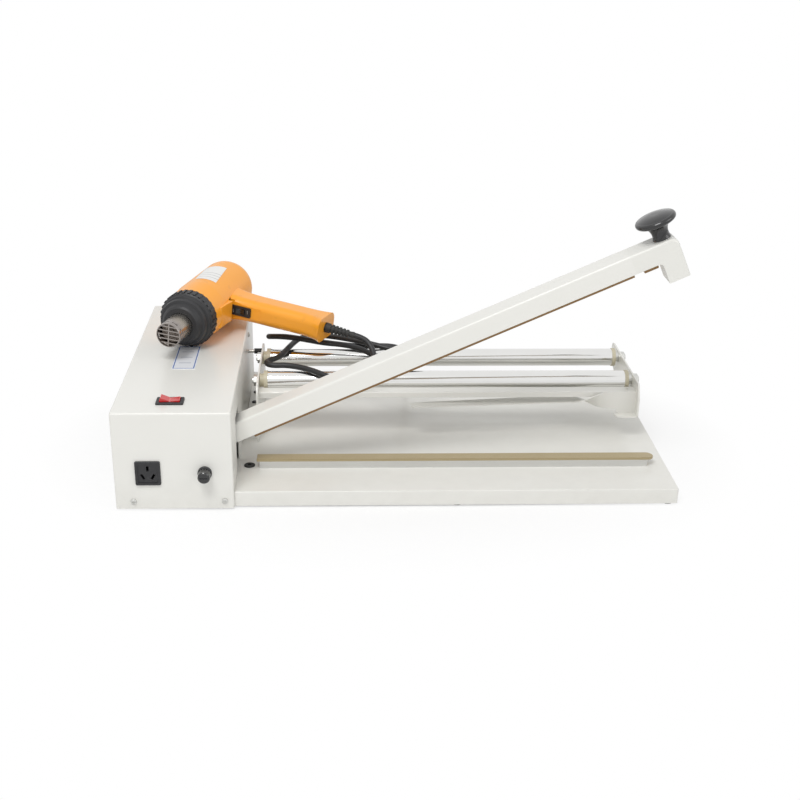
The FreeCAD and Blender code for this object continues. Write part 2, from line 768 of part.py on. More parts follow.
def make_control_board():
    floor = base_height
    x, y = board_x, board_y
    under = floor + board_standoff
    face = under + board_thick
    board = block(x, x + board_length, y, y + board_width, under, face)
    for px in (x + board_post_inset, x + board_length - board_post_inset):
        for py in (y + board_post_inset, y + board_width - board_post_inset):
            board = board.fuse(rod_z(board_post_radius, floor, under, px, py))
    long, wide, high = relay_size
    board = board.fuse(block(x + 8, x + 8 + long, y + 14, y + 14 + wide, face, face + high))
    board = board.fuse(rod_z(capacitor_radius, face, face + capacitor_height, x + board_length - 18, y + 14))
    long, wide, high = terminal_block_size
    edge = y + board_width - 3
    board = board.fuse(block(x + 12, x + 12 + long, edge - wide, edge, face, face + high))
    parts["control_board"] = board.removeSplitter()


# ---------------------------------------------------------------- hinge
def make_hinge():
    floor = base_height
    inner = arm_width / 2 + side_clearance
    outer = inner + bracket_sheet
    low_y = seal_line_y - outer
    high_y = seal_line_y + outer
    ear_top = pivot_z + ear_rise
    ear_left = pivot_x - 19.0
    ear_right = pivot_x + 2.0
    bracket = block(bracket_x[0], bracket_x[1], low_y - bracket_flange, high_y + bracket_flange,
                    floor, floor + bracket_sheet)
    for y in (low_y, high_y - bracket_sheet):
        points = [Vector(ear_left - 5, y, floor), Vector(ear_right + 24, y, floor),
                  Vector(ear_right + 8, y, pivot_z + 8), Vector(ear_right, y, ear_top),
                  Vector(ear_left, y, ear_top), Vector(ear_left - 3, y, pivot_z)]
        bracket = bracket.fuse(prism(points, AXIS_Y * bracket_sheet))
    bracket = bracket.fuse(block(ear_left, ear_right, low_y, high_y, ear_top - bracket_sheet, ear_top))
    seat_radius = spring_mean - spring_wire / 2 - side_clearance
    plate_top = floor + bracket_sheet
    bracket = bracket.fuse(rod_z(seat_radius, plate_top, plate_top + 2 * spring_wire, spring_x, seal_line_y))
    bracket = bracket.cut(rod_y(pin_radius, low_y - 1, high_y + 1, pivot_x, pivot_z))
    parts["hinge_bracket"] = bracket.removeSplitter()

    head = pin_radius + 2.5
    pin = rod_y(pin_radius, low_y - 3.0, high_y + 3.0, pivot_x, pivot_z)
    pin = pin.fuse(rod_y(head, low_y - 3.0, low_y, pivot_x, pivot_z))
    clip = turned([(0, pin_radius), (0, pin_radius + 2.0), (1.2, pin_radius + 2.0), (1.2, pin_radius)],
                  Vector(pivot_x, high_y, pivot_z), AXIS_Y)
    parts["hinge_pin"] = pin.fuse(clip).removeSplitter()
    joints["arm_hinge"] = Vector(pivot_x, seal_line_y, pivot_z)
    make_microswitch(ear_left, ear_top - bracket_sheet)
    make_spring(plate_top)


def make_microswitch(left, top):
    low = top - micro_height
    micro = block(left, left + micro_length, seal_line_y - micro_half, seal_line_y + micro_half, low, top)
    half = plunger_size / 2
    x = left + 5.5
    micro = micro.fuse(block(x - half, x + half, seal_line_y - half, seal_line_y + half,
                             pivot_z + arm_above_pivot + side_clearance, low + 1.0))
    tag = seal_line_y + micro_half
    for x in (left + 2.5, left + micro_length - 3.5):
        micro = micro.fuse(block(x - 0.5, x + 0.5, tag, tag + terminal_reach, top - 5.0, top - 1.5))
    parts["microswitch"] = micro.removeSplitter()


def make_spring(bottom):
    """Compression spring under the arm, as high as the raised arm leaves it."""
    rest = math.radians(arm_rest_angle)
    web = arm_above_pivot - arm_sheet
    edge_x = spring_x - spring_mean - spring_wire / 2 - pivot_x
    along = (edge_x + web * math.sin(rest)) / math.cos(rest)
    top = pivot_z + along * math.sin(rest) + web * math.cos(rest) - side_clearance
    rise = top - bottom - spring_wire
    helix = Part.makeHelix(rise / spring_turns, rise, spring_mean)
    section = Part.Wire([Part.Circle(Vector(spring_mean, 0, 0), AXIS_Y, spring_wire / 2).toShape()])
    coil = Part.Wire(helix).makePipeShell([section], True, True)
    coil.translate(Vector(spring_x, seal_line_y, bottom + spring_wire / 2))
    parts["return_spring"] = coil
    joints["spring_base"] = Vector(spring_x, seal_line_y, bottom)


# ---------------------------------------------------------------- arm
def arm_place(shape):
    """From arm coordinates (along, across, up from the pivot, arm level) to the raised rest pose."""
    moved = shape.copy()
    moved.rotate(Vector(0, 0, 0), AXIS_Y, -arm_rest_angle)
    moved.translate(Vector(pivot_x, seal_line_y, pivot_z))
    return moved


def make_arm_channel():
    half = arm_width / 2
    low = arm_above_pivot - arm_height
    channel = block(-arm_tail, arm_channel_end, -half, half, low, arm_above_pivot)
    channel = channel.makeFillet(arm_bend, edges_along(channel, AXIS_X, lambda p: p.z > 0))
    inside = block(-arm_tail - 1, arm_channel_end + 1, -half + arm_sheet, half - arm_sheet,
                   low - 1, arm_above_pivot - arm_sheet)
    inside = inside.makeFillet(arm_bend - arm_sheet, edges_along(inside, AXIS_X, lambda p: p.z > 0))
    channel = channel.cut(inside)
    left = -arm_tail - 1
    corner = [Vector(left, -half - 1, low - 1), Vector(arm_tail_corner - arm_tail, -half - 1, low - 1),
              Vector(left, -half - 1, low + arm_tail_corner)]
    channel = channel.cut(prism(corner, AXIS_Y * (arm_width + 2)))
    channel = channel.cut(rod_y(bush_radius, -half - 1, half + 1, 0, 0))
    parts["arm_channel"] = arm_place(channel)

    bush = rod_y(bush_radius, -half, half, 0, 0)
    bush = bush.cut(rod_y(pin_radius + running_clearance, -half - 1, half + 1, 0, 0))
    parts["arm_bush"] = arm_place(bush)


def make_pressure_bar():
    inner_half = arm_width / 2 - arm_sheet
    low = arm_above_pivot - arm_height
    end = arm_channel_end - 2.0
    bar = block(strip_start, end, -inner_half, inner_half, low, low + pressure_bar_height)
    groove_half = inner_half - pressure_bar_wall
    bar = bar.cut(block(strip_start - 1, end + 1, -groove_half, groove_half,
                        low + pressure_bar_web, low + pressure_bar_height + 1))
    parts["pressure_bar"] = arm_place(bar)
    strip = block(strip_start, end, -strip_width / 2, strip_width / 2, low - strip_height, low)
    strip = strip.makeFillet(1.2, edges_along(strip, AXIS_X, lambda p: p.z < low - 1))
    parts["silicone_strip"] = arm_place(strip)


def make_arm_end():
    """Moulded end piece with the foot that reaches down past the end of the base."""
    half = arm_width / 2
    low = arm_above_pivot - arm_height
    cap = block(arm_channel_end, arm_reach, -half, half, low, arm_above_pivot)
    foot = block(foot_start, arm_reach, -half, half, -foot_drop, 0)
    cap = cap.fuse(foot).removeSplitter()
    cap = cap.makeFillet(end_nose, edges_along(cap, AXIS_Y, lambda p: p.x > arm_reach - 1 and p.z > 0))
    cap = cap.makeFillet(4.0, edges_along(cap, AXIS_Y,
                                          lambda p: abs(p.x - foot_start) < 1 and abs(p.z - low) < 1))
    cap = cap.makeFillet(3.0, edges_along(cap, AXIS_Z, lambda p: p.x > arm_reach - 1))
    hollow = block(foot_start + end_wall, arm_reach - end_wall, -half + end_wall, half - end_wall,
                   -foot_drop - 1, -foot_drop + foot_hollow)
    cap = cap.cut(hollow)
    spigot = block(arm_channel_end - end_spigot, arm_channel_end, -half + arm_sheet, half - arm_sheet,
                   low + pressure_bar_height, arm_above_pivot - arm_sheet)
    spigot = spigot.makeFillet(arm_bend - arm_sheet, edges_along(spigot, AXIS_X, lambda p: p.z > 0))
    cap = cap.fuse(spigot).removeSplitter()
    cap = cap.cut(rod_z(knob_bolt_radius, -5.0, arm_above_pivot + 1, knob_station, 0))
    screw_x = arm_channel_end + end_screw_inset
    cap = cap.cut(rod_z(end_screw_radius, low - 1, low + 6.0, screw_x, 0))
    parts["arm_end_piece"] = arm_place(cap)
    bolt = rod_z(knob_bolt_radius, -5.0, arm_above_pivot + knob_bolt_depth, knob_station, 0)
    small = screw(Vector(screw_x, 0, low), AXIS_Z, 6.0, 3.2, 1.6, end_screw_radius)
    parts["arm_screws"] = Part.makeCompound([arm_place(bolt), arm_place(small)])

    pad = block(arm_channel_end + pad_gap_left, foot_start - pad_gap_right, -strip_width / 2, strip_width / 2,
                low - strip_height, low)
    pad = pad.makeFillet(1.0, edges_along(pad, AXIS_Y, lambda p: p.z < low - 1))
    parts["arm_end_pad"] = arm_place(pad)


def make_knob():
    rim = [Vector(knob_radius * 0.8, 0, knob_height * 0.78), Vector(knob_radius, 0, knob_height * 0.92),
           Vector(knob_radius * 0.86, 0, knob_height * 1.05)]
    crown_edge = Vector(knob_radius * 0.15, 0, knob_height * 1.18)
    crown = Vector(0, 0, knob_height * 1.18)
    foot_edge = Vector(knob_stem_radius, 0, 0)
    well_edge = Vector(knob_bolt_radius, 0, 0)
    well_top = Vector(knob_bolt_radius, 0, knob_bolt_depth)
    well_centre = Vector(0, 0, knob_bolt_depth)
    outline = Part.Wire([
        Part.LineSegment(well_edge, foot_edge).toShape(),
        Part.Arc(foot_edge, Vector(knob_stem_radius * 0.96, 0, knob_height * 0.42), rim[0]).toShape(),
        Part.Arc(rim[0], rim[1], rim[2]).toShape(),
        Part.Arc(rim[2], Vector(knob_radius * 0.55, 0, knob_height * 1.14), crown_edge).toShape(),
        Part.LineSegment(crown_edge, crown).toShape(),
        Part.LineSegment(crown, well_centre).toShape(),
        Part.LineSegment(well_centre, well_top).toShape(),
        Part.LineSegment(well_top, well_edge).toShape()])
    knob = Part.Face(outline).revolve(Vector(0, 0, 0), AXIS_Z, 360)
    knob.translate(Vector(knob_station, 0, arm_above_pivot))
    parts["knob"] = arm_place(knob)


# ---------------------------------------------------------------- film stand
def make_left_plate():
    x = left_plate_x
    y0, y1 = plate_front_y, plate_rear_y
    top = left_plate_top
    plate = block(x, x + plate_sheet, y0, y1, base_height, top)
    plate = plate.makeFillet(left_plate_corner, edges_along(plate, AXIS_X, lambda p: p.z > top - 1))
    flange = block(left_flange_x, x + plate_sheet, y0 + left_flange_inset, y1,
                   base_height, base_height + plate_sheet)
    plate = plate.fuse(flange)
    for y in (front_roller_y, rear_roller_y):
        plate = plate.cut(rod_x(axle_radius, x - 1, x + plate_sheet + 1, y, roller_height))
    plate = plate.cut(rod_x(spacer_radius, x - 1, x + plate_sheet + 1, spacer_y, spacer_z))
    plate = plate.removeSplitter()
    for px, py in stand_screw_places():
        hole = rod_z(screw_radius, base_height - 2 * base_sheet, base_height + 2 * plate_sheet, px, py)
        plate = plate.cut(hole)
        parts["base_plate"] = parts["base_plate"].cut(hole)
    parts["roller_plate_left"] = plate


def stand_screw_places():
    x = (left_flange_x + left_plate_x) / 2 - 2.0
    return [(x, y) for y in stand_screw_y]


def make_right_plate():
    x = right_plate_x
    lead = cross_y - right_plate_lead
    points = [Vector(x, lead, right_plate_bottom),
              Vector(x, rear_roller_y + right_plate_dip, right_plate_bottom + 6),
              Vector(x, plate_rear_y, right_plate_bottom + 16), Vector(x, plate_rear_y, right_plate_top),
              Vector(x, lead + 8, right_plate_top), Vector(x, lead, cross_top - 4)]
    plate = prism(points, AXIS_X * plate_sheet)
    plate = plate.makeFillet(7.0, edges_along(plate, AXIS_X, lambda p: p.y > plate_rear_y - 1))
    plate = plate.makeFillet(4.0, edges_along(plate, AXIS_X, lambda p: p.y < cross_y))
    for y in (front_roller_y, rear_roller_y):
        plate = plate.cut(rod_x(axle_radius, x - 1, x + plate_sheet + 1, y, roller_height))
    parts["roller_plate_right"] = plate


def make_cross_member():
    x0 = left_plate_x + plate_sheet
    x1 = right_plate_x
    y = cross_y + cross_sheet
    top = block(x0, x1, y, y + cross_depth, cross_top - cross_sheet, cross_top)
    lip = block(x0, x1, y, y + cross_sheet, cross_top - cross_lip, cross_top)
    member = top.fuse(lip).removeSplitter()
    bend = edges_along(member, AXIS_X, lambda p: p.z > cross_top - 0.1 and p.y < y + 0.1)
    member = member.makeFillet(1.0, bend)
    member = member.cut(rod_z(cross_hole_radius, cross_top - 4, cross_top + 1, x1 - cross_hole_inset, y + 8.0))
    parts["cross_member"] = member


def make_separator():
    sheet = cross_sheet
    x1 = right_plate_x
    low = cross_top - separator_width - 1.2
    mid = (cross_top + low) / 2
    plate = block(twist_start_x, x1, cross_y, cross_y + sheet, right_plate_bottom + sheet, cross_top)
    gusset = block(twist_start_x, twist_start_x + 12, cross_y - 1, cross_y + sheet + 1,
                   right_plate_bottom - 1, low)
    gusset = gusset.cut(rod_y(low - right_plate_bottom, cross_y - 2, cross_y + 3,
                              twist_start_x + 12, low + 0.6))
    plate = plate.cut(gusset)
    flange_front = cross_y - separator_flange
    flange = block(twist_start_x + 3, x1, flange_front, cross_y + sheet, right_plate_bottom,
                   right_plate_bottom + sheet)
    flange = flange.makeFillet(8.0, edges_along(flange, AXIS_Z, lambda p: p.x < twist_start_x + 4
                                                and p.y < flange_front + 1))
    plate = plate.fuse(flange)

    sections = []
    steps = 6
    half_end = separator_width / 2
    half_start = (cross_top - low) / 2
    end_y = cross_y + separator_back
    for k in range(steps + 1):
        t = k / steps
        ease = t * t * (3 - 2 * t)
        angle = math.radians(90 * ease)
        half = half_start + (half_end - half_start) * t
        drift = t * t
        centre = Vector(twist_start_x - twist_length * t, cross_y + sheet / 2 + (end_y - cross_y) * drift,
                        mid + (separator_height - mid) * drift)
        up = Vector(0, -math.sin(angle), math.cos(angle))
        side = Vector(0, math.cos(angle), math.sin(angle))
        rise = up * half
        thick = side * (sheet / 2)
        corners = [centre.add(rise).add(thick), centre.add(rise).sub(thick),
                   centre.sub(rise).sub(thick), centre.sub(rise).add(thick)]
        sections.append(Part.makePolygon(corners + corners[:1]))
    twist = Part.makeLoft(sections, True, False)

    x_end = twist_start_x - twist_length
    y_mid = end_y + sheet / 2
    tip_mid = y_mid - separator_tip_shift
    z = separator_height - sheet / 2
    blade = [Vector(x_end, y_mid - half_end, z), Vector(x_end, y_mid + half_end, z),
             Vector(separator_tip_x, tip_mid + separator_tip_width / 2, z),
             Vector(separator_tip_x, tip_mid - separator_tip_width / 2, z)]
    blade = prism(blade, AXIS_Z * sheet)
    blade = blade.makeFillet(3.0, edges_along(blade, AXIS_Z, lambda p: p.x < separator_tip_x + 1))
    parts["film_separator"] = plate.fuse(twist).fuse(blade).removeSplitter()


def make_rollers():
    bore = axle_radius + running_clearance
    inner = roller_radius - roller_wall
    end = roller_start + roller_length
    hub_end = end + hub_flange_right
    start = left_plate_x + plate_sheet + side_clearance
    neck = start + hub_neck
    for name, y in (("front", front_roller_y), ("rear", rear_roller_y)):
        place = Vector(0, y, roller_height)
        parts[name + "_roller_tube"] = turned([(roller_start, inner), (roller_start, roller_radius),
                                               (end, roller_radius), (end, inner)], place, AXIS_X)
        left = turned([(start, bore), (start, hub_neck_radius), (neck, hub_neck_radius), (neck, hub_radius),
                       (roller_start, hub_radius), (roller_start, inner), (roller_start + hub_depth, inner),
                       (roller_start + hub_depth, bore)], place, AXIS_X)
        right = turned([(hub_end, bore), (hub_end, hub_flange_radius), (end, hub_flange_radius), (end, inner),
                        (end - hub_depth, inner), (end - hub_depth, bore)], place, AXIS_X)
        parts[name + "_roller_hubs"] = Part.makeCompound([left, right])
        joints[name + "_roller"] = place

    axles = []
    nuts = []
    left = left_plate_x
    right = right_plate_x + plate_sheet
    reach = nut_thick + axle_end
    for y in (front_roller_y, rear_roller_y):
        axles.append(rod_x(axle_radius, left - reach, right + reach, y, roller_height))
        for x0, x1 in ((left - nut_thick, left), (right, right + nut_thick)):
            nuts.append(hex_nut(x0, x1, y, roller_height, axle_radius, nut_reach))
        stop = hub_end + side_clearance
        nuts.append(turned([(stop, axle_radius), (stop, collar_radius), (right_plate_x, collar_radius),
                            (right_plate_x, axle_radius)], Vector(0, y, roller_height), AXIS_X))
    parts["roller_axles"] = Part.makeCompound(axles)
    parts["axle_nuts"] = Part.makeCompound(nuts)


def hex_nut(x0, x1, y, z, bore, reach):
    points = []
    for k in range(6):
        angle = math.radians(60 * k)
        points.append(Vector(x0, y + reach * math.cos(angle), z + reach * math.sin(angle)))
    return prism(points, AXIS_X * (x1 - x0)).cut(rod_x(bore, x0 - 1, x1 + 1, y, z))


def make_spacer():
    x1 = left_plate_x + plate_sheet
    nut = hex_nut(-housing_sheet - spacer_nut_thick, -housing_sheet, spacer_y, spacer_z, spacer_radius,
                  spacer_nut_reach)
    bolt = rod_x(spacer_radius, -housing_sheet - spacer_nut_thick - 2.5, x1, spacer_y, spacer_z)
    parts["spacer_bolt"] = bolt.fuse(nut).removeSplitter()
    start = left_plate_x - spacer_sleeve_length
    sleeve = rod_x(spacer_radius + 1.2, start, left_plate_x, spacer_y, spacer_z)
    parts["spacer_sleeve"] = sleeve.cut(rod_x(spacer_radius, start - 1, left_plate_x + 1, spacer_y, spacer_z))


def make_frame_screws():
    screws = []
    for x, y in stand_screw_places():
        screws.append(screw(Vector(x, y, base_height + plate_sheet), -AXIS_Z, stand_screw_length))
    parts["frame_screws"] = Part.makeCompound(screws)


# ---------------------------------------------------------------- shrink gun
# Gun coordinates: X along the barrel from the nozzle's mouth to the rear, -Y down the
# handle, Z out of the side that faces up while the gun lies on the housing.
def gun_axes():
    turn = math.radians(gun_turn)
    roll = math.radians(gun_roll)
    rearward = Vector(math.sin(turn), math.cos(turn), 0)
    handle = Vector(math.cos(turn) * math.cos(roll), -math.sin(turn) * math.cos(roll), -math.sin(roll))
    return rearward, handle, handle.cross(rearward)


def gun_matrix():
    rearward, handle, up = gun_axes()
    z = housing_height + gun_body_radius
    return FreeCAD.Matrix(rearward.x, -handle.x, up.x, gun_nozzle_x,
                          rearward.y, -handle.y, up.y, gun_nozzle_y,
                          rearward.z, -handle.z, up.z, z,
                          0, 0, 0, 1)


def gun_place(shape):
    moved = shape.copy()
    moved.Placement = FreeCAD.Placement(gun_matrix()).multiply(moved.Placement)
    return moved


def handle_place(shape):
    """Handle coordinates to gun coordinates: leans the handle about its root."""
    moved = shape.copy()
    moved.rotate(Vector(0, 0, 0), AXIS_Z, gun_handle_lean)
    moved.translate(Vector(gun_handle_station, 0, 0))
    return moved


def handle_section(reach, half_depth, half_thick, shift=0.0):
    """Rounded rectangle across the handle at the distance reach from the barrel axis."""
    r = min(half_depth, half_thick) * 0.72
    y = -reach
    hx, hz = half_depth, half_thick
    q = r * (1 - math.sqrt(0.5))
    lines = [((-hx + r, -hz), (hx - r, -hz)), ((hx, -hz + r), (hx, hz - r)),
             ((hx - r, hz), (-hx + r, hz)), ((-hx, hz - r), (-hx, -hz + r))]
    mids = [(hx - q, -hz + q), (hx - q, hz - q), (-hx + q, hz - q), (-hx + q, -hz + q)]
    edges = []
    for k in range(4):
        a, b = lines[k]
        c = lines[(k + 1) % 4][0]
        start = Vector(a[0] + shift, y, a[1])
        end = Vector(b[0] + shift, y, b[1])
        after = Vector(c[0] + shift, y, c[1])
        middle = Vector(mids[k][0] + shift, y, mids[k][1])
        edges.append(Part.LineSegment(start, end).toShape())
        edges.append(Part.Arc(end, middle, after).toShape())
    return Part.Wire(edges)


def gun_barrel(shrink):
    """The barrel's body of revolution, smaller all over by shrink."""
    start = gun_body_start + (gun_nozzle_seat if shrink else 0.0)
    r = gun_body_radius - shrink
    front = gun_ring_radius - 1.0 - shrink
    end = gun_length - shrink
    dome = end - gun_dome
    wire = Part.Wire([
        Part.LineSegment(Vector(start, 0, 0), Vector(start, front, 0)).toShape(),
        Part.LineSegment(Vector(start, front, 0), Vector(start + gun_taper, r, 0)).toShape(),
        Part.LineSegment(Vector(start + gun_taper, r, 0), Vector(dome, r, 0)).toShape(),
        Part.Arc(Vector(dome, r, 0), Vector(dome + gun_dome * 0.75, r * 0.70, 0),
                 Vector(end, r * 0.26, 0)).toShape(),
        Part.LineSegment(Vector(end, r * 0.26, 0), Vector(end, 0, 0)).toShape(),
        Part.LineSegment(Vector(end, 0, 0), Vector(start, 0, 0)).toShape()])
    return Part.Face(wire).revolve(Vector(0, 0, 0), AXIS_X, 360)


def make_gun_shells():
    reach = gun_handle_reach
    depth = gun_handle_depth / 2
    thick = gun_handle_thick / 2
    heel = -gun_heel_shift
    sections = [handle_section(14.0, depth + 9.0, thick + 7.0),
                handle_section(38.0, depth + 2.0, thick + 1.5),
                handle_section(64.0, depth, thick),
                handle_section(reach * 0.72, depth, thick),
                handle_section(reach - 14.0, depth + 1.5, thick, heel / 3),
                handle_section(reach, depth + 5.5, thick + 0.5, heel)]
    body = gun_barrel(0.0).fuse(handle_place(Part.makeLoft(sections, True, False)))
    front = gun_body_start + gun_nozzle_seat
    back = gun_handle_station
    low = -ramp_width / 2
    ramp = prism([Vector(front, -20, low), Vector(front + 6, -ramp_reach + 4, low),
                  Vector(back - 22, -ramp_reach, low), Vector(back, -ramp_reach, low), Vector(back, -20, low)],
                 AXIS_Z * ramp_width)
    ramp = ramp.makeFillet(5.0, edges_along(ramp, AXIS_Z, lambda p: p.y < -30 and p.x < back - 1))
    body = body.fuse(ramp)
    body = body.cut(gun_barrel(gun_wall))
    body = body.cut(rod_x(gun_nozzle_radius + gun_bore_gap, gun_body_start - 1, front + 1, 0, 0))
    low, high = gun_plate_span()
    half = gun_plate_width / 2
    pocket = block(-depth - 3, depth - 5, low + 2, high - 2, -half + 1.2, half - 1.2)
    body = body.cut(handle_place(pocket))
    flat = block(-depth - 6, -depth + gun_plate_sink, low - gun_seat_run, high + gun_seat_run / 2,
                 -thick, thick)
    body = body.cut(handle_place(flat))
    for k in range(gun_vents):
        y = gun_vent_pitch * (k - (gun_vents - 1) / 2)
        body = body.cut(block(gun_length - gun_wall - 12, gun_length + 1, y - gun_vent_width / 2,
                              y + gun_vent_width / 2, -gun_vent_length / 2, gun_vent_length / 2))
    socket = rod_y(relief_root, -reach - 1, -reach + 2 * relief_seat, heel, 0)
    body = body.cut(handle_place(socket))
    far = gun_length + gun_handle_reach
    upper = body.common(block(-far, far, -far, far, 0, far))
    lower = body.common(block(-far, far, -far, far, -far, 0))
    parts["gun_shell_upper"] = gun_place(upper)
    parts["gun_shell_lower"] = gun_place(lower)


def gun_plate_span():
    """The switch plate's two ends along the handle."""
    return -gun_plate_start - gun_plate_length, -gun_plate_start


def make_gun_collar():
    x = gun_collar_start
    end = gun_body_start
    r = gun_ring_radius
    bore = gun_nozzle_radius + gun_bore_gap
    ring = x + 20
    collar = turned([(x, bore), (x, r - 13.5), (x + 2, r - 11.5), (x + 7, r - 9), (x + 8, r - 6),
                     (x + 12, r - 5), (x + 13.5, r - 6.5), (x + 15, r - 6.5), (x + 16.5, r - 3.5),
                     (x + 19, r - 2.5), (ring, r - 1.2), (end, r - 1.2), (end, r - 6.0), (ring, r - 8.5),
                     (x + 14, r - 12.5), (x + 4, bore + 3.0), (x + 4, bore)], Vector(0, 0, 0), AXIS_X)
    for k in range(gun_ribs):
        rib = block(ring + 1, end - 1.2, -gun_rib_width / 2, gun_rib_width / 2, r - 2.2, r)
        rib.rotate(Vector(0, 0, 0), AXIS_X, 360.0 * k / gun_ribs)
        collar = collar.fuse(rib)
    parts["gun_collar"] = gun_place(collar.removeSplitter())


def make_gun_nozzle():
    r = gun_nozzle_radius
    wall = gun_nozzle_wall
    end = gun_body_start + gun_nozzle_seat
    nozzle = turned([(0, r - wall - 0.4), (0, r - 0.3), (0.6, r), (end, r), (end, r - wall), (1.5, r - wall),
                     (1.0, r - wall - 0.4)], Vector(0, 0, 0), AXIS_X)
    for k in range(gun_mouth_slots):
        slot = block(4.5, 6.5, -3.6, 3.6, r - 3, r + 1)
        slot.rotate(Vector(0, 0, 0), AXIS_X, 360.0 * (k + 0.5) / gun_mouth_slots)
        nozzle = nozzle.cut(slot)
    inner = r - wall * 0.5
    bars = [block(1.2, 2.6, -0.8, 0.8, -inner, inner)]
    for k in range(-2, 3):
        y = gun_grille_pitch * k
        half = math.sqrt(inner ** 2 - y ** 2) - 0.1
        bars.append(block(1.2, 2.6, -half, half, y - 0.7, y + 0.7))
    parts["gun_nozzle"] = gun_place(nozzle.fuse(fuse_all(bars)).removeSplitter())

    core = heater_core_radius
    profile = [(9.0, 0), (9.0, core)]
    for k in range(heater_discs):
        start = 12.0 + heater_pitch * k
        profile += [(start, core), (start, heater_radius), (start + 3.0, heater_radius), (start + 3.0, core)]
    plug = r - wall - 0.2
    profile += [(end, core), (end, plug), (end + 3.0, plug), (end + 3.0, 0)]
    parts["gun_heater"] = gun_place(turned(profile, Vector(0, 0, 0), AXIS_X))


def make_gun_drive():
    fan = gun_fan_station
    inner = gun_body_radius - gun_wall
    motor_end = fan - 9
    motor_start = motor_end - motor_length
    motor = rod_x(motor_radius, motor_start, motor_end, 0, 0)
    motor = motor.fuse(rod_x(motor_shaft_radius, motor_end, fan + fan_depth, 0, 0))
    ring = turned([(motor_start + 6, motor_radius - 1), (motor_start + 6, inner), (motor_start + 10, inner),
                   (motor_start + 10, motor_radius - 1)], Vector(0, 0, 0), AXIS_X)
    middle = (motor_radius + inner) / 2
    for k in range(6):
        hole = rod_x(5.0, motor_start + 4, motor_start + 12, middle, 0)
        hole.rotate(Vector(0, 0, 0), AXIS_X, 60.0 * k + 30)
        ring = ring.cut(hole)
    parts["gun_motor"] = gun_place(motor.fuse(ring).removeSplitter())
    half = fan_depth / 2
    bore = motor_shaft_radius + running_clearance
    hub = turned([(fan - half, bore), (fan - half, 8.0), (fan + half, 5.0), (fan + half, bore)],
                 Vector(0, 0, 0), AXIS_X)
    for k in range(fan_blades):
        blade = block(fan - half + 0.4, fan + half - 0.4, -0.6, 0.6, 4.0, fan_radius)
        blade.rotate(Vector(fan, 0, 0), AXIS_Z, 35)
        blade.rotate(Vector(0, 0, 0), AXIS_X, 360.0 * k / fan_blades)
        hub = hub.fuse(blade)
    parts["gun_fan"] = gun_place(hub.cut(rod_x(bore, fan - 9, fan + 9, 0, 0)).removeSplitter())
    joints["gun_fan"] = gun_matrix().multVec(Vector(fan, 0, 0))


def make_gun_switch():
    depth = gun_handle_depth / 2
    y0, y1 = gun_plate_span()
    half = gun_plate_width / 2
    face = -depth + gun_plate_sink
    plate = block(face - gun_plate_thick, face, y0, y1, -half, half)
    plate = plate.makeFillet(1.0, edges_along(plate, AXIS_X))
    body = block(face, face + 14, y0 + 3.5, y1 - 3.5, -half + 1.6, half - 1.6)
    mid = (y0 + y1) / 2
    reach = gun_rocker_half
    well = math.hypot(reach, gun_rocker_rise) + side_clearance
    switch = plate.fuse(body)
    gap = gun_rocker_width / 2 + side_clearance
    switch = switch.cut(block(face - 4, face + 7, mid - well, mid + well, -gap, gap))
    pivot = Vector(face - 0.4, mid, 0)
    stub = rod_z(gun_rocker_axle, -half + 1.7, half - 1.7, pivot.x, pivot.y)
    parts["gun_switch_bezel"] = gun_place(handle_place(switch.fuse(stub).removeSplitter()))

    rise = gun_rocker_rise
    radius = math.hypot(reach, rise)
    a = Vector(-rise, -reach, -gun_rocker_width / 2)
    b = Vector(-rise, reach, a.z)
    valley = Vector(-rise * 0.5, 0, a.z)
    low = math.radians(40)
    c = Vector(radius * math.sin(low), radius * math.cos(low), a.z)
    d = Vector(c.x, -c.y, a.z)
    outline = Part.Wire([Part.LineSegment(a, valley).toShape(), Part.LineSegment(valley, b).toShape(),
                         Part.Arc(b, Vector(0, radius, a.z), c).toShape(), Part.LineSegment(c, d).toShape(),
                         Part.Arc(d, Vector(0, -radius, a.z), a).toShape()])
    rocker = Part.Face(outline).extrude(AXIS_Z * gun_rocker_width)
    rocker = rocker.cut(rod_z(gun_rocker_axle + running_clearance, -gun_rocker_width, gun_rocker_width, 0, 0))
    rocker.translate(pivot)
    parts["gun_rocker"] = gun_place(handle_place(rocker))
    joints["gun_rocker"] = gun_place(handle_place(Part.Vertex(pivot))).Point
    tip = gun_place(handle_place(Part.Vertex(pivot.add(AXIS_Z)))).Point
    joints["gun_rocker_axis"] = tip.sub(joints["gun_rocker"])


def relief_ends():
    """Root and tip of the strain relief in the machine's frame, and its direction."""
    root = gun_place(handle_place(Part.Vertex(Vector(-gun_heel_shift, -gun_handle_reach, 0)))).Point
    level = Vector(relief_aim[0], relief_aim[1], 0).normalize()
    drop = relief_drop / relief_length
    direction = (level * math.sqrt(1 - drop ** 2)).sub(AXIS_Z * drop)
    return root, root.add(direction * relief_length), direction


def make_strain_relief():
    root, tip, direction = relief_ends()
    seat = relief_root - 1.6
    profile = [(-relief_seat, 0), (-relief_seat, seat), (0, seat), (0, relief_root - 0.2)]
    pitch = (relief_length - 8.0) / relief_rings
    for k in range(relief_rings):
        start = 3.0 + pitch * k
        r = relief_root - 0.4 - 1.6 * k / relief_rings
        profile += [(start, r), (start + pitch * 0.62, r), (start + pitch * 0.62, r - 1.3),
                    (start + pitch, r - 1.3)]
    profile += [(relief_length, cord_radius + 0.7), (relief_length, 0)]
    parts["gun_strain_relief"] = turned(profile, root, direction)


# ---------------------------------------------------------------- the gun's lead


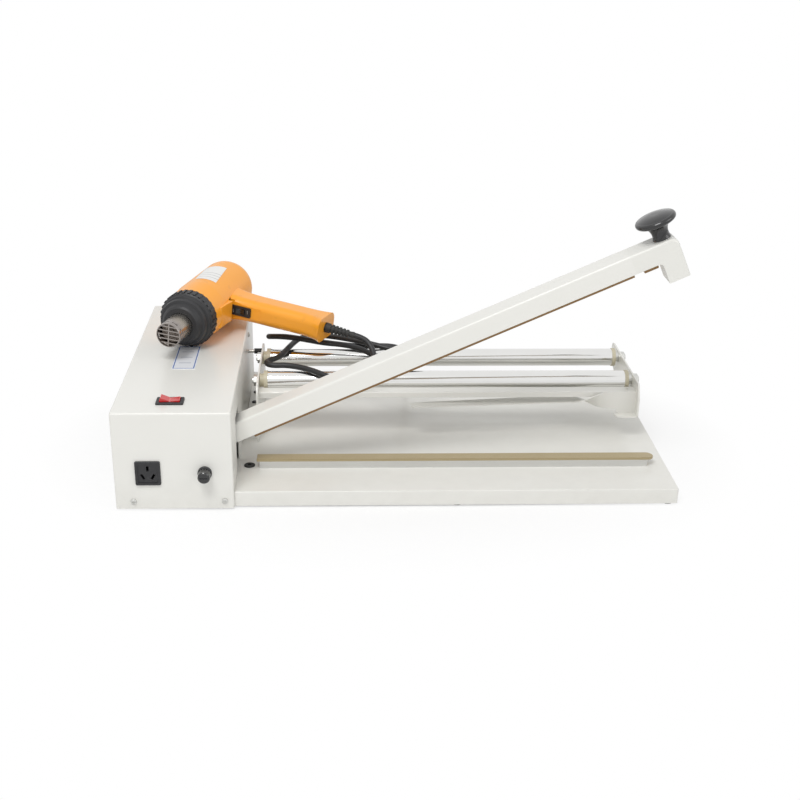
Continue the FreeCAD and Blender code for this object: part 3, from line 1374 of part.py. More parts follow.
def rounded_wire(points, share=0.45):
    """Straight runs joined by tangent arcs, each as large as its two runs allow."""
    edges = []
    radii = []
    start = points[0]
    for before, corner, after in zip(points, points[1:], points[2:]):
        back = before.sub(corner)
        ahead = after.sub(corner)
        reach = share * min(back.Length, ahead.Length)
        half_turn = (math.pi - back.getAngle(ahead)) / 2
        radius = reach / math.tan(half_turn)
        back.normalize()
        ahead.normalize()
        inward = back.add(ahead).normalize()
        enter = corner.add(back * reach)
        leave = corner.add(ahead * reach)
        middle = corner.add(inward * (radius / math.cos(half_turn) - radius))
        edges.append(Part.LineSegment(start, enter).toShape())
        edges.append(Part.Arc(enter, middle, leave).toShape())
        radii.append(radius)
        start = leave
    edges.append(Part.LineSegment(start, points[-1]).toShape())
    return Part.Wire(edges), radii


def make_cord():
    root, tip, direction = relief_ends()
    points = [tip, tip.add(direction * cord_straight)] + [Vector(*place) for place in cord_route]
    path, radii = rounded_wire(points)
    section = Part.Wire([Part.Circle(tip, direction, cord_radius).toShape()])
    tube = path.makePipeShell([section], True, False)
    parts["gun_cord"] = tube
    expected = math.pi * cord_radius ** 2 * path.Length
    print("cord length %.0f, volume over section times length %.4f" % (path.Length, tube.Volume / expected))
    print("cord radii", " ".join("%.0f" % radius for radius in radii))
    print("cord start", [[round(value, 1) for value in point] for point in points[:2]])


def make_hank():
    """The lead's rest, folded flat on the bench behind the housing."""
    end = Vector(*cord_route[-1])
    floor = -foot_proud + 0.1
    hank = block(end.x - hank_length, end.x, end.y - hank_width / 2, end.y + hank_width / 2,
                 floor, floor + hank_height)
    hank = hank.makeFillet(hank_corner, edges_along(hank, AXIS_Z))
    top = floor + hank_height
    rims = [edge for edge in hank.Edges if min(v.Z for v in edge.Vertexes) > top - 0.1]
    parts["gun_cord_hank"] = hank.makeFillet(cord_radius * 0.9, rims)


def make_plug():
    """Two-pin moulded plug that leans on the hank, its relief end lying on the top turns."""
    half = plug_thick / 2
    plug_end = plug_relief + plug_length
    body = block(plug_relief, plug_end, -plug_width / 2, plug_width / 2, -half, half)
    body = body.makeFillet(6.0, edges_along(body, AXIS_X))
    back = [edge for edge in body.Edges if max(v.X for v in edge.Vertexes) < plug_relief + 0.1]
    body = body.makeChamfer(4.0, back)
    profile = [(0, 0), (0, cord_radius + 0.8)]
    pitch = (plug_relief - 2.0) / plug_rings
    for k in range(plug_rings):
        r = cord_radius + 1.0 + 0.5 * k
        profile += [(1.5 + pitch * k, r), (1.5 + pitch * (k + 0.6), r), (1.5 + pitch * (k + 0.6), r - 0.7),
                    (1.5 + pitch * (k + 1), r - 0.7)]
    profile += [(plug_relief + 1.0, cord_radius + 3.0), (plug_relief + 1.0, 0)]
    plug = body.fuse(turned(profile, Vector(0, 0, 0), AXIS_X))
    for side in (-1, 1):
        pin = block(plug_end - 4.0, plug_end + pin_length,
                    side * pin_spread / 2 - pin_thick / 2, side * pin_spread / 2 + pin_thick / 2,
                    -pin_width / 2, pin_width / 2)
        pin = pin.makeChamfer(0.6, [edge for edge in pin.Edges if min(v.X for v in edge.Vertexes)
                                    > plug_end + pin_length - 0.1])
        plug = plug.fuse(pin)
    plug = plug.removeSplitter()
    tilt = math.asin((half - cord_radius - 0.8) / (plug_relief + 4.0))
    plug.rotate(Vector(0, 0, 0), AXIS_Y, -math.degrees(tilt))
    box = plug.optimalBoundingBox(False)
    hank = parts["gun_cord_hank"].BoundBox
    plug.translate(Vector(hank.XMin + plug_inset - box.XMin, hank.Center.y - plug_offset,
                          hank.ZMax + plug_gap - box.ZMin))
    parts["gun_plug"] = plug


# ---------------------------------------------------------------- build and write
make_base()
make_grommet()
make_seal()
make_housing()
make_housing_screws()
make_label()
make_power_switch()
make_outlet()
make_fuse()
make_inlet()
make_transformer()
make_control_board()
make_hinge()
make_arm_channel()
make_pressure_bar()
make_arm_end()
make_knob()
make_left_plate()
make_right_plate()
make_cross_member()
make_separator()
make_rollers()
make_spacer()
make_frame_screws()
make_gun_shells()
make_gun_collar()
make_gun_nozzle()
make_gun_drive()
make_gun_switch()
make_strain_relief()
make_cord()
make_hank()
make_plug()


def footprint_origin():
    """Middle of the box around every rigid piece, on the plane that the feet stand on."""
    box = FreeCAD.BoundBox()
    for name, shape in parts.items():
        if name not in cord_pieces:
            box.add(shape.optimalBoundingBox(False))
    return Vector((box.XMin + box.XMax) / 2, (box.YMin + box.YMax) / 2, box.ZMin)


origin = footprint_origin()
os.makedirs("parts", exist_ok=True)
for name, shape in parts.items():
    shape.translate(-origin)
    shape.exportStep("parts/%s.step" % name)
print("origin in the working frame", tuple(round(v, 4) for v in origin))
for name, point in joints.items():
    place = point if name.endswith("axis") else point.sub(origin)
    print(name, tuple(round(v, 5) for v in place))
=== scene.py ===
# %% [markdown]
# # A hand impulse sealer with its shrink gun
#
# The machine is a folded steel base with a painted housing on its left, a long hinged arm that
# presses film on a hot wire, two rollers that carry the film, and a heat gun that rests on the
# housing. The solids come from the CAD model, in metres and in their own places. This file adds
# what the eye needs besides: the lead of the gun, the finishes, the marks and the light.

# %% The frame
import bpy
import bmesh
import math
from mathutils import Matrix, Vector


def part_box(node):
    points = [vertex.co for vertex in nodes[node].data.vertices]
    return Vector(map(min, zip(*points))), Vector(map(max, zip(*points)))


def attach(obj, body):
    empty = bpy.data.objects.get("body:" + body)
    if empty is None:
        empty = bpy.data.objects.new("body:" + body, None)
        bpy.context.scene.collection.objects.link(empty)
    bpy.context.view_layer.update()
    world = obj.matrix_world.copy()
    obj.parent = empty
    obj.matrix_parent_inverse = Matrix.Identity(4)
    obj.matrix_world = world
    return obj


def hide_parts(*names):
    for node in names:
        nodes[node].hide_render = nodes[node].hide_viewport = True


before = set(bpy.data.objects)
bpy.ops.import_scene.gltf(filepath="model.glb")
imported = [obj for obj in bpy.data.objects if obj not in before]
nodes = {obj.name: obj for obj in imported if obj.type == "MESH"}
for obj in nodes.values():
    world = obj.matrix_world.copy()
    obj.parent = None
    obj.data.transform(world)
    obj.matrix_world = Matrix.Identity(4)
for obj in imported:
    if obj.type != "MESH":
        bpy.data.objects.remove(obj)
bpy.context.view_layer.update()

# %% [markdown]
# ## The camera
#
# The machine is seen from the front and a little above. The camera could be aimed with a Track To
# constraint, but three angles say the same thing and can be read: how far it looks to the side,
# how far it looks down, and how far the horizon leans.

# %% Camera
CAMERA_PLACE = Vector((-0.06822, -1.35612, 0.6411))
LOOK_ASIDE = math.radians(2.17)
LOOK_DOWN = math.radians(23.12)
LEAN = math.radians(0.67)
forward = Vector((math.sin(LOOK_ASIDE) * math.cos(LOOK_DOWN),
                  math.cos(LOOK_ASIDE) * math.cos(LOOK_DOWN),
                  -math.sin(LOOK_DOWN)))
level = Vector((math.cos(LOOK_ASIDE), -math.sin(LOOK_ASIDE), 0))
right = level * math.cos(LEAN) + level.cross(forward) * math.sin(LEAN)
turned = Matrix((right, right.cross(forward), -forward)).transposed().to_4x4()
camera = bpy.data.objects.new("camera", bpy.data.cameras.new("camera"))
camera.data.lens = 54.22
camera.data.sensor_width = 36
camera.data.shift_x = 0.0245
camera.data.shift_y = -0.004
camera.data.clip_end = 20
camera.matrix_world = Matrix.Translation(CAMERA_PLACE) @ turned
bpy.context.scene.collection.objects.link(camera)
bpy.context.scene.camera = camera
print("camera is", round(CAMERA_PLACE.length, 2), "m from the middle of the base")

# %% [markdown]
# ## Sums on sockets
#
# A finish varies over a surface by sums: a mask times a shade, one minus a speckle. Wiring each
# sum by hand hides what it says, so one small class wraps an output socket and lets Python's own
# signs add the Math nodes. Numbers alone never reach a node: Python works them out first.

# %% The socket wrapper
class Wire:
    """One output socket of a graph, so that a sum on it is written as a Python sum."""

    def __init__(self, graph, socket):
        self.graph = graph
        self.socket = socket

    def math(self, operation, *terms):
        return self.graph.node("ShaderNodeMath", {"operation": operation}, dict(enumerate(terms)))

    def __add__(self, other):
        return self.math("ADD", self, other)

    def __sub__(self, other):
        return self.math("SUBTRACT", self, other)

    def __mul__(self, other):
        return self.math("MULTIPLY", self, other)

    def __pow__(self, other):
        return self.math("POWER", self, other)

    def __gt__(self, other):
        return self.math("GREATER_THAN", self, other)

    def __lt__(self, other):
        return self.math("LESS_THAN", self, other)

    def __radd__(self, other):
        return self.math("ADD", other, self)

    def __rsub__(self, other):
        return self.math("SUBTRACT", other, self)

    def __rmul__(self, other):
        return self.math("MULTIPLY", other, self)

    def __abs__(self):
        return self.math("ABSOLUTE", self)

    def at_least(self, other):
        return self.math("MAXIMUM", self, other)

    def sine(self, pitch):
        """A wave over this distance, one crest each pitch."""
        return self.math("SINE", self * (2 * math.pi / pitch))


class Graph:
    """A node tree, of a material or of the world."""

    def __init__(self, tree):
        self.tree = tree

    def node(self, kind, settings, sockets, output=0):
        """The only place where a node is made: its type, its settings, then its sockets."""
        made = self.tree.nodes.new(kind)
        for key, value in settings.items():
            setattr(made, key, value)
        for key, value in sockets.items():
            self.join(made.inputs[key], value)
        return Wire(self, made.outputs[output])

    def join(self, socket, value):
        if isinstance(value, Wire):
            self.tree.links.new(value.socket, socket)
        else:
            socket.default_value = value


# %% [markdown]
# ## One finish
#
# Every surface here is one Principled shader. What is the same all over it is set on the shader's
# own sockets, and only what varies is wired in. The Object coordinates are used for every pattern:
# all pieces share one frame in metres, so a scale of 500 means two millimetres on each of them.

# %% A finish
FIRST_COLOUR = 6
SECOND_COLOUR = 7
MIXED_COLOUR = 2


class Finish(Graph):
    """A material around one Principled shader."""

    def __init__(self, name, colour, roughness, **constants):
        self.material = bpy.data.materials.new(name)
        self.material.use_nodes = True
        super().__init__(self.material.node_tree)
        self.surface = self.tree.nodes["Principled BSDF"]
        self.colour = (*colour, 1)
        self.set("Base Color", self.colour)
        self.set("Roughness", roughness)
        for key, value in constants.items():
            self.set(key.replace("_", " "), value)
        self.spot = self.node("ShaderNodeTexCoord", {}, {}, "Object")

    def set(self, key, value):
        self.join(self.surface.inputs[key], value)

    def noise(self, scale, detail=2.0, stretch=(1, 1, 1)):
        at = self.node("ShaderNodeMapping", {}, {"Vector": self.spot, "Scale": stretch})
        return self.node("ShaderNodeTexNoise", {}, {"Vector": at, "Scale": scale, "Detail": detail})

    def grains(self, scale):
        return self.node("ShaderNodeTexVoronoi", {}, {"Vector": self.spot, "Scale": scale}, "Distance")

    def distance(self, direction, start=Vector((0, 0, 0))):
        """How far a point lies along a direction, from start."""
        along = Vector(direction).normalized()
        product = self.node("ShaderNodeVectorMath", {"operation": "DOT_PRODUCT"},
                            {0: self.spot, 1: along}, "Value")
        return product - along.dot(Vector(start))

    def mix(self, factor, first, second):
        return self.node("ShaderNodeMix", {"data_type": "RGBA"},
                         {"Factor": factor, FIRST_COLOUR: first, SECOND_COLOUR: second}, MIXED_COLOUR)

    def tint(self, factor, colour):
        """Lays a second colour over the first, as much as the factor says."""
        base = self.surface.inputs["Base Color"]
        under = Wire(self, base.links[0].from_socket) if base.links else self.colour
        self.set("Base Color", self.mix(factor, under, (*colour, 1)))

    def bump(self, height, distance, strength=1.0):
        made = self.node("ShaderNodeBump", {},
                         {"Height": height, "Distance": distance, "Strength": strength})
        self.set("Normal", made)


def wear(finish, *names):
    """Gives the finish to each CAD node named."""
    for name in names:
        mesh = nodes[name].data
        mesh.materials.clear()
        mesh.materials.append(finish.material)
    print(finish.material.name, "on", ", ".join(names))


# %% [markdown]
# ## Pieces of this file
#
# A piece that the CAD leaves out, such as a sticker or a mark, is built as a mesh of its own. Each
# one rides on the body that carries it, so it moves with the joints, and names the material slot
# that it belongs to.

# %% Adding a piece
CAD_ZERO = Vector((183.75, 167.8, -2.0))


def spot(x, y, z):
    """A point of the CAD's working frame, in millimetres, as a point here, in metres."""
    return (Vector((x, y, z)) - CAD_ZERO) / 1000


def add_piece(name, data, finish, body):
    piece = bpy.data.objects.new(name, data)
    bpy.context.scene.collection.objects.link(piece)
    piece.data.materials.append(finish.material)
    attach(piece, body)
    return piece


def add_mesh(name, points, faces, finish, body):
    mesh = bpy.data.meshes.new(name)
    mesh.from_pydata(points, [], faces)
    shape = bmesh.new()
    shape.from_mesh(mesh)
    bmesh.ops.recalc_face_normals(shape, faces=shape.faces)
    shape.to_mesh(mesh)
    shape.free()
    return add_piece(name, mesh, finish, body)


# %% [markdown]
# ## The lead of the gun
#
# The lead is two metres of limp black cable. It leaves the strain relief, drops over the front
# roller, lies in loops on both rollers, goes down behind them and along the bench to a tied hank
# with the plug on it. A physics rope would settle somewhere new each time a number changes, so the
# route is a list of given points, and a smooth NURBS spline runs near them.

# %% The lead's route
CORD_WIDE = 0.007
LEAVES_RELIEF = [(134.9, 203.4, 126.9), (147.3, 201.1, 124.0)]
ROUTE = [
    (156, 194.5, 116), (159.5, 183.5, 107), (159, 170, 99.5), (153, 156, 95), (142, 145, 92),
    (124, 140, 91), (104, 148, 94), (80, 169, 96), (54, 182.5, 96), (37, 181, 96), (28, 186, 96),
    (28, 196, 96), (42, 209, 96), (50, 232, 96.3), (57, 253, 97), (66, 271, 98.5), (85, 279, 99.5),
    (105, 268, 102), (130, 251, 104), (158, 235, 103.5), (184, 227, 99), (206, 224, 96),
    (219, 208.5, 95), (217, 188.5, 95), (201, 176, 96), (181, 179, 97), (168, 194, 98), (156, 210, 100),
    (140, 222, 103.5), (120, 226, 106.5), (98, 228, 107.5), (76, 237, 108.5), (52, 250, 108),
    (34, 259, 105), (24, 275, 99), (31.5, 294.5, 92), (53, 300, 88.5), (76, 286, 90.5), (98, 268, 93.3),
    (121, 253.5, 95.6), (144, 246.5, 95.8), (166, 249, 95.8), (186, 259, 91.5), (200, 275, 80),
    (206, 291, 64), (207, 308, 47), (207, 326, 32), (202, 345, 26.5), (191, 363, 19.5), (173, 375, 7.5),
    (148, 381, 1.6), (118, 384, 1.6), (86, 386, 1.6), (54, 384, 1.6), (22, 385, 1.6), (-4, 385, 1.6)]
lead = [spot(*point) for point in LEAVES_RELIEF + ROUTE]
print("the lead's route has", len(lead), "points")

# %% [markdown]
# The rest of the lead is folded into a hank. Its turns are worked out: each one is two straight
# runs with a half circle at each end, and it climbs by one cable where it crosses itself, so that
# the turns lie on each other as they do on a bench. A quadratic spline cuts inside its points by
# about 7.5 %, so the points of each half circle stand that much further out.

# %% The hank's turns
hank_low, hank_high = (Vector(corner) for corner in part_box("gun_cord_hank"))
FOLD = (hank_high.y - hank_low.y) / 2 - CORD_WIDE / 2
LAYER = CORD_WIDE * 1.04
TURNS = 2
SPLINE_CUTS_IN = 0.925
hank_middle = (hank_low.y + hank_high.y) / 2
fold_left = hank_low.x + CORD_WIDE / 2 + FOLD
fold_right = hank_high.x - CORD_WIDE / 2 - FOLD


def half_turn(centre_x, centre_y, radius, first_angle, height):
    """Four points of a half circle, 45 degrees apart."""
    angles = [math.radians(first_angle + 22.5 + 45 * k) for k in range(4)]
    reach = radius / SPLINE_CUTS_IN
    return [Vector((centre_x + reach * math.cos(a), centre_y + reach * math.sin(a), height))
            for a in angles]


def straight(x_start, x_end, y, z_start, z_end):
    """Two points of a run, a fifth of the way in from its ends."""
    return [Vector((x_start + (x_end - x_start) * share, y, z_start + (z_end - z_start) * rise))
            for share, rise in ((0.2, 0.0), (0.8, 1.0))]


first = lead[-1].z
rear_y = hank_middle + FOLD
front_y = hank_middle - FOLD
lead += [Vector((hank_high.x - 0.020, hank_middle + 0.004, first)),
         Vector((hank_high.x - 0.038, hank_middle + 0.015, first)),
         Vector((hank_high.x - 0.060, rear_y, first))]
for k in range(TURNS):
    here = first + LAYER * k
    lead += half_turn(fold_left, hank_middle, FOLD, 90, here)
    lead += straight(fold_left, fold_right, front_y, here, here + LAYER)
    lead += half_turn(fold_right, hank_middle, FOLD, -90, here + LAYER)
    lead += straight(fold_right, fold_left, rear_y, here + LAYER, here + LAYER)
top = first + TURNS * LAYER
plug_low, plug_high = (Vector(corner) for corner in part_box("gun_plug"))
plug_y = (plug_low.y + plug_high.y) / 2
last_fold = (rear_y - plug_y) / 2
lead += half_turn(plug_low.x, plug_y + last_fold, last_fold, 90, top)
lead += [Vector((plug_low.x - 0.001, plug_y, top + 0.0002)),
         Vector((plug_low.x + 0.005, plug_y, top + 0.0012))]
print("with the hank it has", len(lead), "points")

# %% [markdown]
# A cable's sheath is PVC: black, a little glossy, with a very fine grain and soft patches of dust
# that dull it. The bevel of the curve gives the round section, so no mesh has to be made.

# %% The lead
sheath = Finish("cable sheath", (0.014, 0.014, 0.015), 0.42)
sheath.set("Roughness", 0.36 + sheath.noise(90.0, 3.0) * 0.22)
sheath.tint((sheath.noise(35.0, 4.0) - 0.45).at_least(0.0) * 0.35, (0.05, 0.05, 0.048))
sheath.bump(sheath.noise(1400.0, 1.0), 0.00003, 0.5)

curve = bpy.data.curves.new("gun_lead", "CURVE")
curve.dimensions = "3D"
curve.bevel_depth = CORD_WIDE / 2
curve.bevel_resolution = 5
curve.resolution_u = 8
line = curve.splines.new("NURBS")
line.points.add(len(lead) - 1)
for point, where in zip(line.points, lead):
    point.co = (*where, 1)
line.order_u = 3
line.use_endpoint_u = True
gun_lead = add_piece("gun_lead", curve, sheath, "gun")
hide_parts("gun_cord", "gun_cord_hank")

# %% [markdown]
# A hook-and-loop strap holds the hank. It goes over the turns and is tucked under them on both
# sides, so it is a strip that follows nine points, given a thickness by a Solidify modifier.

# %% The strap of the hank
STRAP_WIDE = 0.007
strap_x = hank_high.x - 0.034
over = top + CORD_WIDE / 2 + 0.0006
outer = FOLD + CORD_WIDE / 2 + 0.0006
strap_line = [(-outer + 0.002, 0.0006), (-outer - 0.0002, 0.004), (-outer, over - 0.007),
              (-outer + 0.004, over - 0.003), (0.0, over - 0.0012), (outer - 0.004, over),
              (outer, over - 0.004), (outer + 0.0002, 0.004), (outer - 0.002, 0.0006)]
strap_points = [(strap_x + side * STRAP_WIDE / 2, hank_middle + y, z)
                for side in (-1, 1) for y, z in strap_line]
count = len(strap_line)
strap_faces = [(k, k + 1, count + k + 1, count + k) for k in range(count - 1)]
strap_cloth = Finish("strap cloth", (0.03, 0.03, 0.032), 0.85)
strap_cloth.bump(strap_cloth.grains(2200.0), 0.0001, 0.8)
hank_strap = add_mesh("hank_strap", strap_points, strap_faces, strap_cloth, "gun")
thick = hank_strap.modifiers.new("thickness", "SOLIDIFY")
thick.thickness = 0.0008
thick.offset = 0.0

# %% [markdown]
# ## The powder coat
#
# Powder is sprayed dry and melts in an oven, so its film is even but never flat: there is an
# orange-peel ripple of a few millimetres, a slight drift of the shade, small dark pits, a patchy
# darkening towards the bench and patches that handling has rubbed. Noise of several sizes
# gives all of it.

# %% Powder coat
CREAM = (0.82, 0.815, 0.775)
CREAM_DEEP = (0.76, 0.75, 0.70)
DARK_TONE = (0.36, 0.34, 0.30)


def powder_coat(name, roughness):
    finish = Finish(name, CREAM, roughness, Coat_Weight=0.25, Coat_Roughness=0.2)
    finish.tint(finish.noise(6.0, 3.0) * 0.6, CREAM_DEEP)
    finish.tint((finish.grains(260.0) < 0.07) * 0.10, DARK_TONE)
    # Darker in patches towards the bench, fading out 40 mm above it.
    near_bench = (1.0 - finish.distance((0, 0, 1)) * 25.0).at_least(0.0)
    finish.tint(near_bench * finish.noise(70.0, 5.0) * 0.22, DARK_TONE)
    rubbed = finish.noise(18.0, 6.0, stretch=(0.4, 1.0, 1.0)) > 0.62
    finish.set("Roughness", roughness + finish.noise(40.0) * 0.12 + rubbed * 0.06)
    finish.bump(finish.noise(420.0, 1.0), 0.00006, 0.6)
    return finish


paint = powder_coat("cream powder coat", 0.30)
wear(paint, "base_plate", "housing_cover", "roller_plate_left", "roller_plate_right", "cross_member",
     "film_separator", "arm_channel")

# %% [markdown]
# ## Mouldings
#
# Moulded plastic shows its mould: faint flow marks in the shade, a gloss that differs a little from
# place to place, and a grain in the skin. One function makes them all, with the grain's size and
# depth as its numbers: deeper on the matt blacks, hardly there on the polished ones.

# %% Mouldings
def moulded(name, colour, roughness, grain, depth, **constants):
    finish = Finish(name, colour, roughness, **constants)
    flow = finish.noise(28.0, 2.0, stretch=(1.0, 0.35, 1.0))
    finish.tint(flow * 0.30, tuple(value * 0.86 for value in colour))
    finish.set("Roughness", roughness - 0.05 + finish.noise(55.0, 4.0) * 0.14)
    finish.bump(finish.grains(grain), depth, 0.6)
    return finish


white_moulding = moulded("white moulding", (0.80, 0.795, 0.75), 0.34, 900.0, 0.00003)
black = moulded("black moulding", (0.018, 0.018, 0.02), 0.46, 1500.0, 0.00005)
gloss_black = moulded("polished black moulding", (0.012, 0.012, 0.013), 0.20, 700.0, 0.00001,
                      Coat_Weight=0.4)
plug_black = moulded("plug moulding", (0.02, 0.02, 0.021), 0.4, 1100.0, 0.00004)
wear(white_moulding, "arm_end_piece")
wear(black, "switch_bezel", "outlet_socket", "fuse_holder", "power_inlet", "microswitch", "gun_collar",
     "gun_fan")
wear(gloss_black, "knob", "fuse_cap", "gun_rocker")
wear(plug_black, "gun_plug")

yellow = moulded("yellow moulding", (1.0, 0.40, 0.022), 0.32, 1000.0, 0.00003, Coat_Weight=0.2)
yellow.tint((yellow.noise(90.0, 5.0) > 0.66) * 0.12, (0.55, 0.22, 0.03))
wear(yellow, "gun_shell_upper", "gun_shell_lower")

# %% [markdown]
# The gun's switch plate carries two plain bars, one on each side of its rocker along the handle.
# They are drawn in the material with sums on the coordinates, because they are ink and have no
# thickness.

# %% Switch plate of the gun
rocker_low, rocker_high = (Vector(corner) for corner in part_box("gun_rocker"))
rocker_middle = (rocker_low + rocker_high) / 2
GUN_ALONG = Vector((0.9612617, -0.2756374, 0))
plate = moulded("switch plate", (0.02, 0.02, 0.021), 0.38, 1300.0, 0.00003)
along = plate.distance(GUN_ALONG, rocker_middle)
height = plate.distance((0, 0, 1), rocker_middle)
bars = (abs(height) < 0.0022) * (abs(abs(along) - 0.0098) < 0.0003)
plate.tint(bars * 0.7, (0.6, 0.6, 0.58))
wear(plate, "gun_switch_bezel")

# %% [markdown]
# ## Rubber
#
# Rubber has a matt skin that keeps dust: a pale bloom in soft patches over a black that is nearly
# brown.

# %% Rubber
rubber = Finish("black rubber", (0.022, 0.022, 0.021), 0.62)
rubber.tint((rubber.noise(45.0, 5.0) - 0.42).at_least(0.0) * 0.5, (0.09, 0.088, 0.083))
rubber.set("Roughness", 0.52 + rubber.noise(120.0, 3.0) * 0.2)
rubber.bump(rubber.noise(700.0, 3.0), 0.00006, 0.6)
wear(rubber, "base_feet", "wire_grommet", "gun_strain_relief", "spacer_sleeve")
wear(sheath, "gun_cord", "gun_cord_hank")

silicone = Finish("brown silicone", (0.30, 0.17, 0.06), 0.5)
silicone.tint(silicone.noise(25.0, 4.0, stretch=(0.2, 1.0, 1.0)) * 0.5, (0.17, 0.09, 0.03))
silicone.bump(silicone.noise(600.0, 2.0), 0.00005, 0.5)
wear(silicone, "silicone_strip", "arm_end_pad")

# %% [markdown]
# ## Metals
#
# Each metal keeps the trace of how it was made. A drawn and polished tube has faint lines along
# it, an extrusion has die lines, zinc plate is cloudy, brass has fine tool lines. Stretched noise
# makes each of these: the stretch is small along the line and large across it.

# %% Metals
def metal(name, colour, roughness, stretch, scale, spread, depth, stain):
    finish = Finish(name, colour, roughness, Metallic=1.0)
    lines = finish.noise(scale, 3.0, stretch=stretch)
    finish.tint(finish.noise(30.0, 4.0) * 0.5, stain)
    finish.set("Roughness", roughness - spread / 2 + lines * spread)
    finish.bump(lines, depth, 0.5)
    return finish


polished = metal("polished tube", (0.80, 0.80, 0.79), 0.13, (0.02, 1, 1), 900.0, 0.10, 0.000004,
                 (0.70, 0.69, 0.66))
zinc = metal("zinc plate", (0.64, 0.64, 0.62), 0.34, (1, 1, 1), 220.0, 0.22, 0.00001, (0.50, 0.50, 0.46))
aluminium = metal("extruded aluminium", (0.70, 0.70, 0.69), 0.30, (0.01, 1, 1), 1500.0, 0.2, 0.00001,
                  (0.58, 0.58, 0.57))
brass = metal("turned brass", (0.72, 0.54, 0.25), 0.28, (1, 0.05, 1), 1400.0, 0.2, 0.00001,
              (0.5, 0.36, 0.16))
dark_steel = metal("blackened steel", (0.12, 0.12, 0.125), 0.36, (1, 1, 1), 300.0, 0.2, 0.00001,
                   (0.07, 0.06, 0.05))
motor_steel = metal("motor can", (0.34, 0.34, 0.36), 0.36, (0.2, 0.2, 1), 700.0, 0.2, 0.00001,
                    (0.24, 0.24, 0.25))
wear(polished, "front_roller_tube", "rear_roller_tube")
wear(zinc, "housing_screws", "roller_axles", "axle_nuts", "hinge_bracket", "hinge_pin", "spacer_bolt",
     "transformer_core", "return_spring", "arm_screws", "fuse_link")
wear(dark_steel, "frame_screws")
wear(aluminium, "seal_bar", "pressure_bar")
wear(brass, "wire_terminals", "arm_bush", "heating_wire")
wear(motor_steel, "gun_motor")

# %% [markdown]
# The gun's nozzle is stainless steel that has been hot. Its oxide film grows thicker towards the
# mouth, so the colour runs from bare steel through straw to blue-grey over its outer half.

# %% Nozzle
nozzle_low, nozzle_high = (Vector(corner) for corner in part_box("gun_nozzle"))
motor_low, motor_high = (Vector(corner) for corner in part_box("gun_motor"))
nozzle_middle = (nozzle_low + nozzle_high) / 2
BARREL = (nozzle_middle - (motor_low + motor_high) / 2).normalized()
nozzle = metal("heated nozzle", (0.62, 0.61, 0.59), 0.26, (1, 1, 1), 500.0, 0.2, 0.00001,
               (0.50, 0.48, 0.45))
heat = (nozzle.distance(BARREL, nozzle_middle) * 28.0 + nozzle.noise(60.0, 3.0) * 0.3).at_least(0.0)
heat = 1.0 - (1.0 - heat).at_least(0.0)
nozzle.tint(heat * 0.75, (0.46, 0.36, 0.22))
nozzle.tint((heat - 0.55).at_least(0.0) * 1.2, (0.20, 0.21, 0.27))
wear(nozzle, "gun_nozzle")

# %% [markdown]
# ## Cloth, nylon and the inside
#
# The strip over the hot wire is glass cloth coated with PTFE, tan from the heat, and its weave is
# two waves at right angles. Hubs are natural nylon that has yellowed unevenly. The parts inside
# the housing show only through its louvres and get simpler finishes.

# %% Cloth and nylon
THREAD = 0.0011
cloth = Finish("coated glass cloth", (0.44, 0.36, 0.21), 0.42)
weave = cloth.distance((1, 0, 0)).sine(THREAD) * cloth.distance((0, 1, 0)).sine(THREAD)
cloth.tint(cloth.noise(14.0, 5.0, stretch=(1.0, 3.0, 1.0)) * 0.6, (0.30, 0.235, 0.12))
cloth.tint((weave > 0.35) * 0.18, (0.60, 0.52, 0.36))
cloth.bump(weave, 0.00004, 0.7)
wear(cloth, "seal_cover", "seal_insulator")

nylon = moulded("hub nylon", (0.60, 0.555, 0.42), 0.42, 800.0, 0.00004)
nylon.tint(nylon.noise(40.0, 4.0) * 0.5, (0.46, 0.41, 0.28))
wear(nylon, "front_roller_hubs", "rear_roller_hubs")

board = Finish("circuit board", (0.05, 0.25, 0.10), 0.4, Coat_Weight=0.4)
board.tint((board.grains(420.0) < 0.16) * 0.8, (0.62, 0.60, 0.52))
board.bump(board.noise(500.0, 1.0), 0.00005, 0.5)
wear(board, "control_board")

tape = Finish("winding tape", (0.75, 0.60, 0.15), 0.45)
tape.tint((tape.distance((0, 0, 1)).sine(0.009) > 0.8) * 0.4, (0.50, 0.38, 0.08))
tape.bump(tape.noise(300.0, 2.0), 0.00005, 0.5)
wear(tape, "transformer_coil")

ceramic = Finish("heater ceramic", (0.35, 0.30, 0.26), 0.7)
ceramic.tint(ceramic.noise(120.0, 4.0) * 0.6, (0.20, 0.16, 0.13))
ceramic.bump(ceramic.noise(900.0, 3.0), 0.0001, 0.6)
wear(ceramic, "gun_heater")

# %% [markdown]
# ## The rocker
#
# The power rocker is red plastic with a painted highlight, a bright line where its two faces meet,
# and the bar and ring that stand for on and off. A ring in a material is all that lies at one
# distance from a point.

# %% Rocker
switch_low, switch_high = (Vector(corner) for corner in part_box("power_rocker"))
switch_middle = (switch_low + switch_high) / 2
red = moulded("red rocker", (0.62, 0.018, 0.02), 0.20, 900.0, 0.00001, Coat_Weight=0.5)
aside = red.distance((1, 0, 0), switch_middle)
upward = red.distance((0, 0, 1), switch_middle)
# A painted highlight: a bright red line down the middle of the rocker, where its two faces meet.
red.tint((abs(aside) < 0.0006) * 0.35, (0.95, 0.25, 0.2))
bar = (abs(aside - 0.006) < 0.0003) * (abs(upward) < 0.0022)
ring_reach = ((aside + 0.006) * (aside + 0.006) + upward * upward) ** 0.5
ring = abs(ring_reach - 0.0019) < 0.00028
red.tint((bar + ring) * 0.85, (0.9, 0.88, 0.85))
wear(red, "power_rocker")

# %% [markdown]
# ## The label of the housing
#
# The label is a bluish white film with a blue border, and three plain grey lines in its middle.
# The border is a band of distances from the film's edge, so it fits whatever size the plate has.

